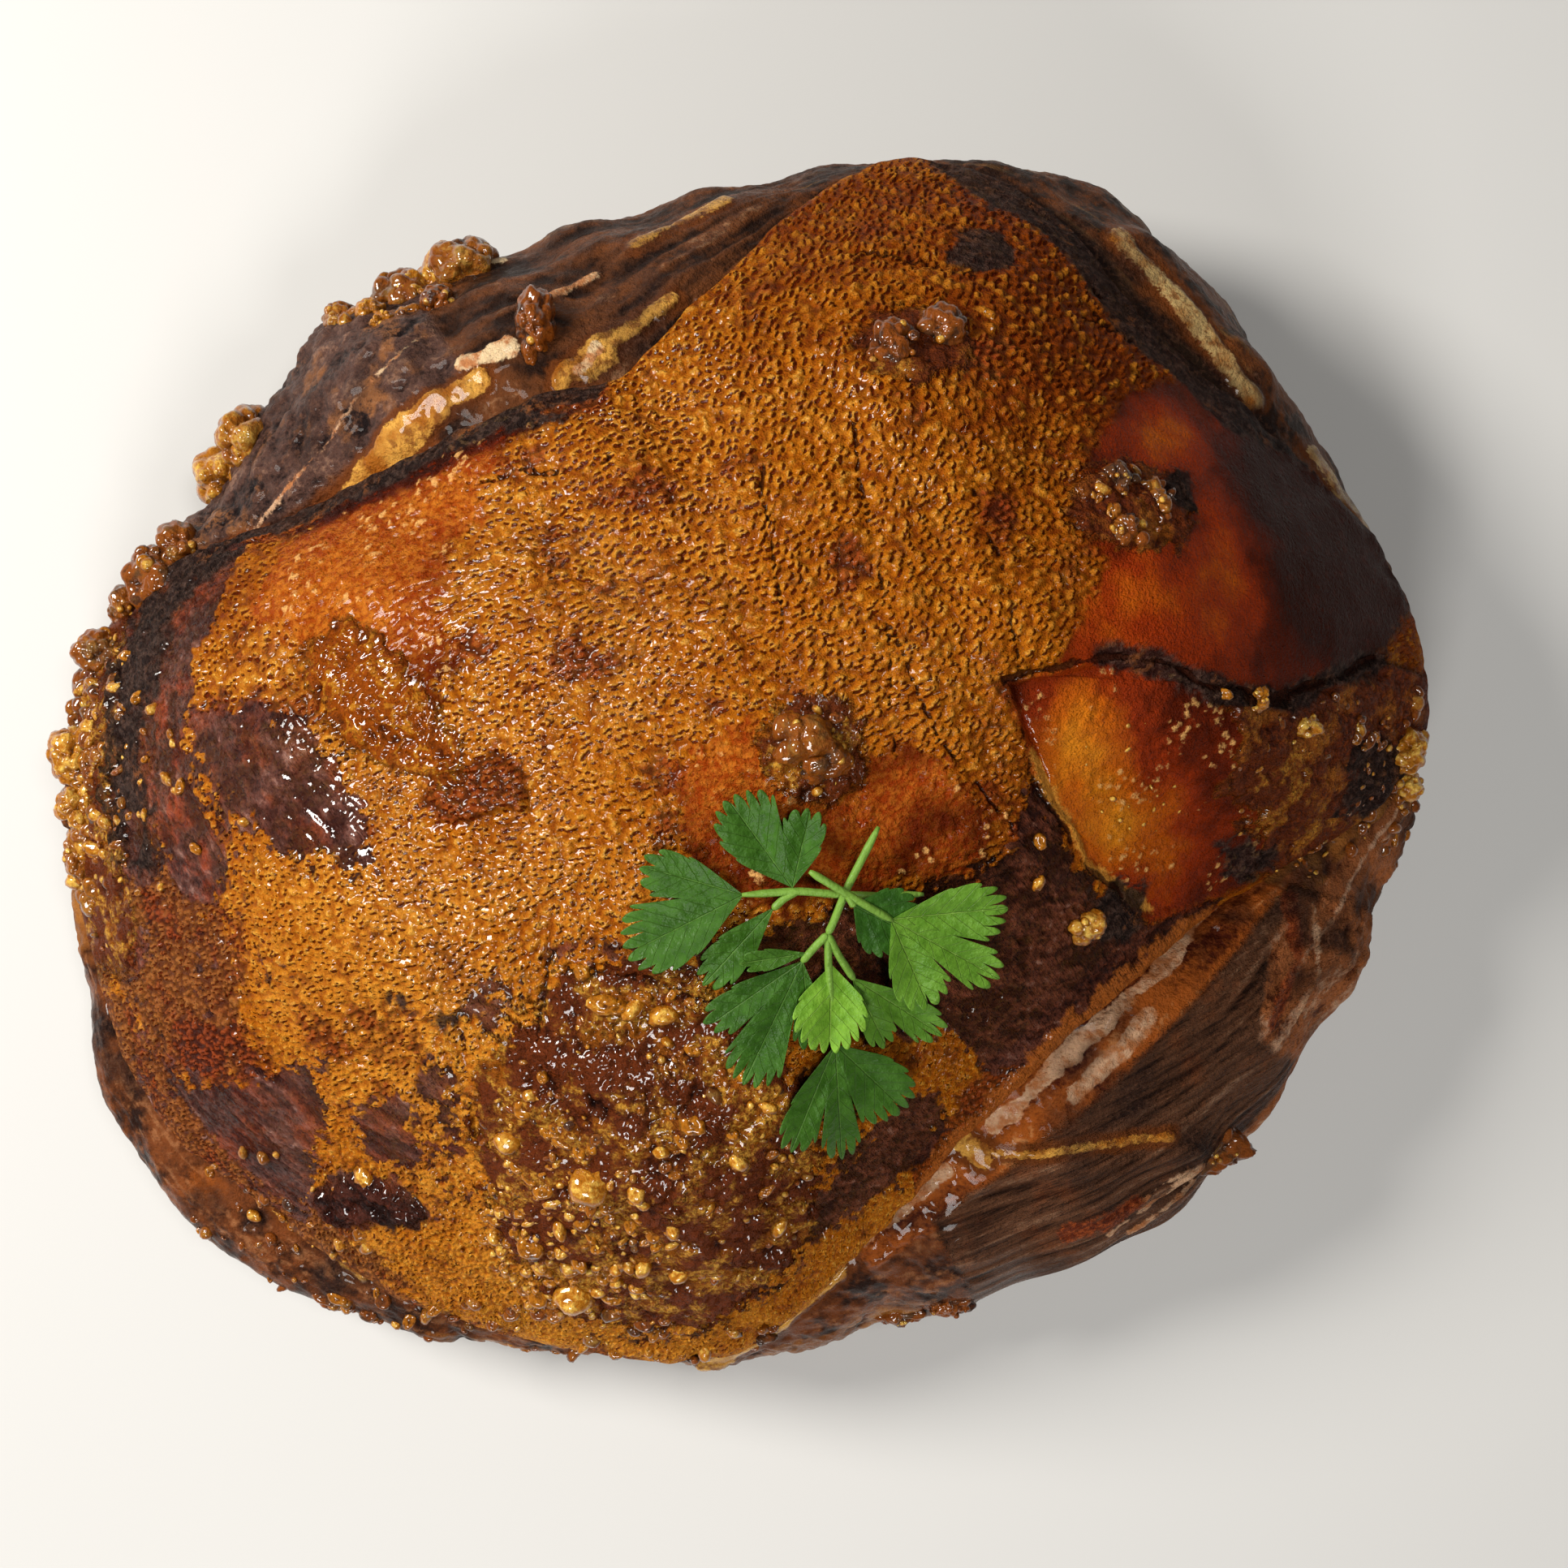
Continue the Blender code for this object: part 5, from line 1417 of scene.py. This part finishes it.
def rind_material():
    """Glazed rind: golden-brown pebbles with dark slits, amber glaze, plum-black patches, crust and char,
    each where its field is over zero, with ragged edges from fine noise."""
    p = Paint("glazed_rind")
    fine, grit, speck = p.noise(1600, 2.0), p.noise(800, 3.0, 0.65), p.noise(420, 3.0, 0.6)
    patches = p.noise(90, 4.0, 0.6)
    p.ragged = (grit - 0.5) * 3.0
    dome, slit, crack, pebble = p.masks("dome slit crack pebble")
    wrinkle, knob, wire, sheen = p.masks("wrinkle knob wire sheen")

    # Pebbled skin.
    tone = p.mask("tone").frayed(patches, 0.9)
    tops = p.layers(
        (190, 34, 1),
        (tone.step(-0.1, 0.5), (420, 118, 3)),
        (tone.step(0.45, 1.1), (580, 215, 18)),
        (pebble.step(0.5, 1.0) * 0.45, (640, 260, 20)),
        (speck.step(0.46, 0.7) * 0.5, (260, 46, 1)),
    )
    # Painted shade: the creases between the pebbles are painted darker than their tops, and the brown and
    # stained stretches below are painted darker between the domes too.
    crease_shade = p.mix(tone.step(0.0, 1.0), (120, 15, 0.5), (250, 48, 1))
    # A pale gold painted highlight on the tops of the domes, stronger where the skin is paler.
    painted_top_highlight = dome.frayed(fine, 1.8).step(0.8, 1.35) * tone.step(-0.1, 0.7)
    browned = p.mix(dome.step(0.3, 0.9), (60, 14, 6), (235, 72, 22))
    stained = p.mix((dome + (speck - 0.5)).step(0.2, 0.9), (45, 6, 3), (250, 36, 8))
    # The slits are dark pits, painted darker still as the shade inside them.
    slits = 1 - slit.frayed(fine, 0.8).frayed(grit, 1.0).step(0.62, 1.08)
    skin = p.layers(
        crease_shade,
        (dome.frayed(grit, 1.0).step(-0.2, 0.55), tops),
        (painted_top_highlight * 0.7, (740, 360, 50)),
        (p.patch("brown", 2.0) * 0.8, browned),
        (p.patch("stain", 1.8) * 0.8, stained),
        (slits * 0.94, (115, 11, 0.4)),
    )

    # Glaze, from burnt through red to amber as it glows.
    glow = p.mask("glow").frayed(patches, 0.6)
    sugar = (speck + (grit - 0.5) + (dome - 0.5) * 0.3).step(0.25, 0.8)
    amber = p.mix(sugar, (270, 42, 2), (560, 180, 16))
    in_soft = p.patch("soft", 2.0)
    # Painted glints: pale specks on the tops of the drops over the flap and the soft glaze.
    painted_glints = p.mask("glint_drop").frayed(grit, 1.2).step(0.7, 1.05)
    glaze = p.layers(
        (30, 5, 2),
        (glow.step(-0.5, -0.05), (80, 8, 1)),
        (glow.step(-0.1, 0.3), (270, 26, 2)),
        (glow.step(0.22, 0.6), (490, 100, 3)),
        (glow.step(0.55, 0.95), (620, 200, 8)),
        (speck.step(0.5, 0.75) * 0.22, (130, 14, 1)),
        (in_soft * glow.step(-0.2, 0.4) * 0.7, amber),
        # The slits show through the soft glaze, painted dark as the shade in them as well.
        (slits * in_soft * 0.6, (150, 14, 0.5)),
        (painted_glints * 0.8, (800, 420, 130)),
    )

    # Plum-black skin, wrinkled, reddish in places and leathery where it is dull. It is painted lighter on the
    # wrinkles' crests and darker in their hollows, a painted highlight and shade over its own streaks, with
    # pale painted glints on the highest crests.
    crest_lit_wrinkles = wrinkle.frayed(grit, 0.9).step(0.28, 0.9)
    raised = wrinkle.frayed(speck, 1.4)
    reddish = p.mix(crest_lit_wrinkles, (50, 7, 4), (240, 46, 16))
    leathery = p.layers(
        (16, 4, 3),
        (crest_lit_wrinkles, (135, 36, 18)),
        (raised.step(0.78, 1.12) * 0.65, (320, 170, 120)),
    )
    plum = p.layers(
        (28, 8, 7),
        (crest_lit_wrinkles, (130, 48, 36)),
        (raised.step(0.72, 1.1) * 0.8, (360, 190, 150)),
        (patches.step(0.44, 0.62) * 0.85, reddish),
    )
    plum = p.mix(sheen.step(0.3, 0.8), leathery, plum)
    glowing = p.mix(crest_lit_wrinkles, (60, 7, 4), (270, 38, 12))
    plum = p.mix(p.patch("ruddy", 3.5, -1.5) * patches.step(0.42, 0.56) * 0.8, plum, glowing)

    # Crust of packed bubbles: dark ground, rust and golden lumps, duller on the burnt side.
    burnt_side = (p.mask("tone") * -1.0).step(-0.35, 0.05)
    rusty = p.mix(knob.frayed(grit, 0.5).step(0.1, 0.6), (120, 18, 2), (400, 115, 6))
    scorched = p.mix(grit.step(0.4, 0.7), (50, 8, 4), (240, 45, 6))
    ground = p.layers(
        (12, 3, 2),
        (knob.frayed(grit, 0.8).step(0.15, 0.85), (135, 27, 6)),
        (patches.step(0.52, 0.62) * 0.65, rusty),
        (burnt_side * 0.7, scorched),
    )
    lumps = p.mix(grit.step(0.38, 0.66), (200, 45, 4), (600, 290, 35))
    lumps = p.mix(burnt_side, lumps, (300, 80, 12))
    crusty = p.mix(knob.step(0.68, 0.88) * patches.step(0.47, 0.58) * (1 - burnt_side * 0.6), ground, lumps)
    fat_edge = p.mix((grit + knob * 0.5).step(0.5, 0.9), (100, 16, 3), (360, 95, 14))

    # The glassy blister, the black pools and the char.
    glassy = (knob * 0.5 + wire * 0.5).frayed(grit, 0.4).step(0.0, 0.7)
    blistered = p.layers(
        (48, 6, 1),
        (glassy, (330, 66, 2)),
        # A pale painted highlight along the crests of the wires.
        (wire.frayed(grit, 1.0).step(0.7, 1.05) * 0.7, (740, 310, 22)),
    )
    # The black pools are painted lighter on their wrinkles' crests too.
    pool = p.mix(crest_lit_wrinkles, (10, 3, 3), (85, 18, 10))
    charcoal = p.layers(
        (12, 7, 6),
        ((grit + (speck - 0.5)).step(0.35, 0.8), (70, 40, 30)),
        (patches.step(0.52, 0.7) * speck.step(0.45, 0.6), (190, 62, 18)),
    )

    in_glaze, in_plum, in_crust = p.patch("glaze", 2.0), p.patch("plum", 0.8), p.patch("crust", 1.0)
    in_wet, in_char = p.patch("wet", 1.6), p.patch("char", 1.2)
    # The cracks are painted dark: partly the crack itself and partly painted shade down in it.
    shaded_cracks = 1 - crack.frayed(grit, 1.0).step(0.55, 1.15)
    colour = p.layers(
        skin,
        (in_glaze, glaze),
        (p.patch("cream", 0.7) * 0.75, (740, 340, 50)),
        (in_plum * 0.93, plum),
        (in_crust, crusty),
        (p.patch("edge", 0.8), fat_edge),
        (in_wet * 0.85, pool),
        (p.patch("blister", 3.0) * 0.9, blistered),
        (in_char * 0.93, charcoal),
        (shaded_cracks * 0.85, (30, 6, 2)),
    )

    shine = sheen.step(0.1, 0.9)
    burnt = 1 - glow.step(-0.35, 0.15)
    smooth = (in_glaze + in_wet + in_crust + in_plum).clamp()
    rough = 0.42 - shine * 0.16 - smooth * 0.12 + in_char * 0.2 + (patches - 0.5) * 0.3
    wrinkles = p.noise(760, 3.0, 0.6, p.slanted(math.radians(-52), (7, 1, 2)))
    bare = (1 - in_glaze - in_plum - in_crust).clamp()
    dimpled = (in_glaze * 0.3 + in_wet + in_crust + bare * 0.35).clamp()
    coat = 0.18 + shine * 0.5 + p.patch("flap", 2.0) * 0.35 - in_soft * 0.3
    coat = (coat + in_wet + in_crust * 0.3 + in_plum * 0.3).clamp()
    coat = coat * (1 - in_glaze * burnt) * p.mask("level").step(0.7, 0.82)
    return p.set(
        Base_Color=colour,
        Roughness=rough.clamp(),
        Normal=p.bumps(
            (fine, 0.0005, 0.8),
            (grit, 0.0012, 0.6),
            (p.noise(620, 4.0, 0.65) * dimpled, 0.003, 0.8),
            (wrinkles * in_plum, 0.0028, 0.85),
            (1 - slits * bare, 0.0006, 0.8),
            (1 - shaded_cracks, 0.0009, 0.8),
        ),
        Coat_Weight=(coat - in_char * 0.4).clamp(),
        Coat_Roughness=0.06,
        Coat_IOR=1.42,
        **ROAST_MEAT,
    )


def flank_material():
    """Bare side of the ham: browned membrane, grained lean, yellow and cream fat, char and wet glow."""
    p = Paint("bare_side")
    fine, grit, speck = p.noise(1500, 2.0), p.noise(700, 3.0, 0.65), p.noise(330, 3.0, 0.6)
    patches = p.noise(75, 4.0, 0.6)
    p.ragged = (grit - 0.5) * 3.0
    streak, knob, crag = p.masks("streak knob crag")
    strands = p.noise(900, 3.0, 0.6, p.slanted(FIBRE_SLANT, (16, 1, 3)))
    fibre = p.mask("fibre") * 0.5 + (strands - 0.25) * 1.1
    crumbly = crag.frayed(grit, 0.8)
    stringy = streak + (speck - 0.5)
    on_side, on_upper = p.patch("side", 3.0), p.patch("upper_meat", 3.0)

    membrane = p.layers(
        (20, 7, 4),
        (patches.frayed(crag, 0.5).frayed(speck, 0.5).step(0.36, 0.68), (165, 45, 12)),
        (speck.frayed(streak, 0.5).step(0.52, 0.8) * 0.6, (360, 150, 60)),
        (p.mask("glow").frayed(patches, 0.9).frayed(crag, 0.4).step(0.3, 0.8), (400, 95, 10)),
    )
    streaked = p.layers(
        (18, 8, 5),
        (streak.frayed(crag, 0.6).frayed(speck, 0.6).step(0.25, 0.85), (155, 49, 15)),
        (stringy.step(0.72, 1.0) * 0.7, (420, 210, 100)),
    )
    side = p.layers(
        (22, 9, 5),
        (patches.frayed(speck, 0.5).step(0.38, 0.62), (140, 42, 12)),
        (streak.step(0.66, 0.9) * 0.5, (300, 150, 50)),
    )
    dark_meat = p.layers(
        (10, 6, 6),
        (crumbly.step(0.3, 0.75), (95, 46, 34)),
        (crumbly.step(0.68, 1.0), (280, 150, 95)),
        (patches.step(0.53, 0.66) * crumbly.step(0.4, 0.7) * 0.5, (360, 130, 30)),
    )
    raw_end = p.mix(streak.step(0.3, 0.7), (45, 13, 7), (200, 55, 16))
    knobs = p.mix(patches.step(0.4, 0.6), (200, 60, 11), (360, 140, 28))
    edge_band = p.layers(
        (60, 9, 3),
        ((streak + crag * 0.5).frayed(grit, 0.9).step(0.45, 1.0), (350, 84, 12)),
        (stringy.step(0.68, 0.95) * 0.7, (620, 280, 100)),
    )
    ruddy_meat = p.mix(fibre.step(0.2, 0.7), (55, 13, 5), (200, 60, 20))
    meat = p.layers(
        (18, 7, 4),
        (fibre.step(0.15, 0.7), (110, 44, 21)),
        (fibre.frayed(speck, 0.6).step(0.66, 1.0) * 0.85, (250, 130, 72)),
        (patches.step(0.52, 0.7) * 0.6, ruddy_meat),
    )
    gnarled = p.layers(
        (75, 18, 7),
        (crumbly.step(0.3, 0.65), (300, 95, 30)),
        (stringy.step(0.6, 0.95) * 0.8, (560, 330, 200)),
    )
    pale = p.mix(on_side, (660, 330, 60), (500, 330, 130))
    fat = p.layers(
        (320, 100, 10),
        (patches.frayed(crag, 0.5).step(0.36, 0.62), pale),
        ((speck + crag * 0.3).step(0.66, 0.84) * 0.8, (190, 55, 10)),
    )
    cream = p.layers(
        (640, 380, 220),
        (on_upper, (740, 540, 310)),
        (speck.frayed(crag, 0.8).step(0.48, 0.76) * 0.9, (420, 140, 40)),
    )
    red = p.mix(grit.step(0.4, 0.65), (100, 14, 4), (300, 60, 14))
    charcoal = p.mix(grit.step(0.45, 0.75), (14, 7, 6), (85, 38, 22))

    in_lean, in_fat, wet = p.patch("lean", 1.2), p.patch("fat", 0.3), p.patch("wet", 5.0)
    colour = p.layers(
        membrane,
        (on_upper, streaked),
        (on_side, side),
        (p.patch("dark_meat", 2.0), dark_meat),
        (p.patch("raw_end", 3.0), raw_end),
        (knob.step(0.45, 0.85) * 0.85, knobs),
        (p.patch("edge_band", 1.2), edge_band),
        (in_lean, meat),
        (p.patch("gnarled", 1.5), gnarled),
        (p.patch("fat", 0.8, 2.0) * 0.85, (130, 34, 7)),
        (in_fat, fat),
        (p.mask("cream").frayed(grit, 2.0).step(-0.3, 0.3) * 0.94, cream),
        (p.patch("red", 0.8) * 0.9, red),
        (p.patch("char", 3.0) * 0.9, charcoal),
    )
    glints = (p.noise(1100, 2.0) - 0.5).frayed(speck, 0.6).step(0.03, 0.14)
    return p.set(
        Base_Color=colour,
        Roughness=(0.42 - in_fat * 0.14 - wet * 0.1 - glints * 0.14).clamp(),
        Normal=p.bumps(
            (fine, 0.0004, 0.5),
            (grit, 0.0012, 0.6),
            (strands * in_lean, 0.002, 0.9),
            (p.noise(560, 4.0, 0.65), 0.0026, 0.6),
        ),
        Coat_Weight=(0.1 + in_fat * 0.25 + wet * 0.3 - in_lean * 0.1).clamp(),
        Coat_Roughness=0.07,
        Coat_IOR=1.36,
        **ROAST_MEAT,
    )


def crackling_material():
    """Puffed crackling: dark brown in its dimples and down each ball's sides, amber to gold on its swellings
    and towards its top, charred in places; the darkening down the sides and the brightening towards the top
    are painted shade and highlight.
    """
    p = Paint("crackling")
    gold, swell = p.masks("gold swell")
    grit, patches = p.noise(700, 3.0, 0.65), p.noise(160, 3.0, 0.6)
    # Painted light: each ball is painted lighter towards its top and on its swellings, and darker down its
    # sides and in its dimples.
    top_light_share = swell.frayed(grit, 0.9)
    dark = p.mix(top_light_share.step(0.15, 0.85), (20, 4, 2), (210, 52, 5))
    bright = p.layers(
        (35, 5, 1),
        (top_light_share.step(0.2, 0.8), (400, 135, 5)),
        (top_light_share.step(0.72, 1.05) * 0.9, (800, 500, 90)),
    )
    colour = p.layers(
        dark,
        (gold.frayed(patches, 1.0).step(0.15, 0.85), bright),
        ((1 - gold).step(0.2, 1.0) * patches.step(0.5, 0.62) * 0.85, (24, 15, 12)),
    )
    return p.set(
        Base_Color=colour,
        Roughness=(0.34 + (grit - 0.5) * 0.5).clamp(),
        Normal=p.bumps((grit, 0.0016, 0.7)),
        Coat_Weight=1.0,
        Coat_Roughness=0.06,
        Coat_IOR=1.46,
        Specular_IOR_Level=0.05,
        Subsurface_Weight=0.1,
        Subsurface_Radius=(1.0, 0.4, 0.12),
        Subsurface_Scale=0.002,
    )


def leaf_material():
    """Fresh coriander: thin paler veins, darker and duller green on the old leaflets."""
    p = Paint("coriander_green")
    stalk, along, aside, bright, edge = p.masks("stalk along aside bright edge")
    mottle, wander = p.noise(260, 3.0), p.noise(420, 2.0) - 0.5
    middle = 1 - (aside + wander * 0.3).step(0.03, 0.24)
    phase = (along - aside * 1.1 + wander * 0.9) / (1000 * VEIN_SPACING)
    branch = ((phase.fract() - 0.5).abs() * 2).step(0.9, 1.0) * (1 - (aside - along * 0.6).step(-0.5, 0.5))
    vein = (middle + branch * 0.6).clamp()
    dark = p.mix(mottle.step(0.3, 0.7), (12, 54, 4), (24, 92, 8))
    light = p.mix(mottle.step(0.3, 0.7), (120, 280, 18), (180, 370, 30))
    colour = p.layers(
        dark,
        (bright, light),
        ((vein * 0.45 + stalk * 0.5).clamp(), p.mix(bright, (85, 200, 35), (340, 540, 90))),
        (edge * 0.25, p.mix(bright, (50, 150, 20), (240, 440, 60))),
    )
    return p.set(
        Base_Color=colour,
        Roughness=(0.4 + (mottle - 0.5) * 0.2).clamp(),
        Normal=p.bumps((p.noise(500, 3.0) - vein * 0.7, 0.0007, 0.8)),
        Specular_IOR_Level=0.18,
        Subsurface_Weight=0.04,
        Subsurface_Radius=(0.3, 1.0, 0.2),
        Subsurface_Scale=0.001,
    )


# ---------------------------------------------------------------- floor, light and camera

FLOOR_HALF = 3.0
# Lamps: name, place, width, power, colour. They all point at the middle of the ham.
LAMPS = (
    ("key", (-0.88, 0.34, 0.84), 0.42, 18.0, (1.0, 0.97, 0.92)),
    ("fill", (-0.16, -0.92, 0.86), 0.36, 7.0, (1.0, 0.99, 0.97)),
    ("top", (0.25, 0.1, 1.3), 0.28, 5.0, (1.0, 0.98, 0.95)),
)
LIT_PLACE = (0, 0, 0.08)
SKY = (0.9, 0.95, 1.0, 1)
SKY_STRENGTH = 0.07
CAMERA_PLACE = (0.013, -0.006, 0.6)
LENS = 47.7


def place_in_scene(name, data):
    """A new object for this lamp or camera."""
    obj = bpy.data.objects.new(name, data)
    bpy.context.scene.collection.objects.link(obj)
    return obj


def studio():
    """The pale floor, the dim sky, the soft lamps and the camera, which looks straight down."""
    scene = bpy.context.scene
    corners = FLOOR_HALF * np.array([(-1, -1, 0), (1, -1, 0), (1, 1, 0), (-1, 1, 0)])
    floor = mesh_from("floor", corners, np.array([[0, 1, 2, 3]]))
    floor.data.materials.append(Paint("pale_floor").set(Base_Color=(620, 610, 590), Roughness=0.7))
    scene.world = bpy.data.worlds.new("studio")
    scene.world.use_nodes = True
    background = scene.world.node_tree.nodes["Background"]
    background.inputs["Color"].default_value = SKY
    background.inputs["Strength"].default_value = SKY_STRENGTH
    for name, place, width, power, colour in LAMPS:
        light = bpy.data.lights.new(name, "AREA")
        light.shape, light.size, light.energy, light.color = "DISK", width, power, colour
        lamp = place_in_scene(name, light)
        lamp.location = place
        lamp.rotation_mode = "QUATERNION"
        lamp.rotation_quaternion = (Vector(LIT_PLACE) - Vector(place)).to_track_quat("-Z", "Y")
    camera = place_in_scene("camera", bpy.data.cameras.new("camera"))
    camera.data.sensor_width = 36
    camera.data.lens = LENS
    camera.location = CAMERA_PLACE
    camera.rotation_euler = (0, 0, 0)
    scene.camera = camera
    scene.view_settings.view_transform = "Standard"


rind_pieces(rind_material())
flank_pieces(flank_material())
crackling(bare_skin(), crackling_material())
sprig_pieces(whole_skin(), leaf_material())
studio()
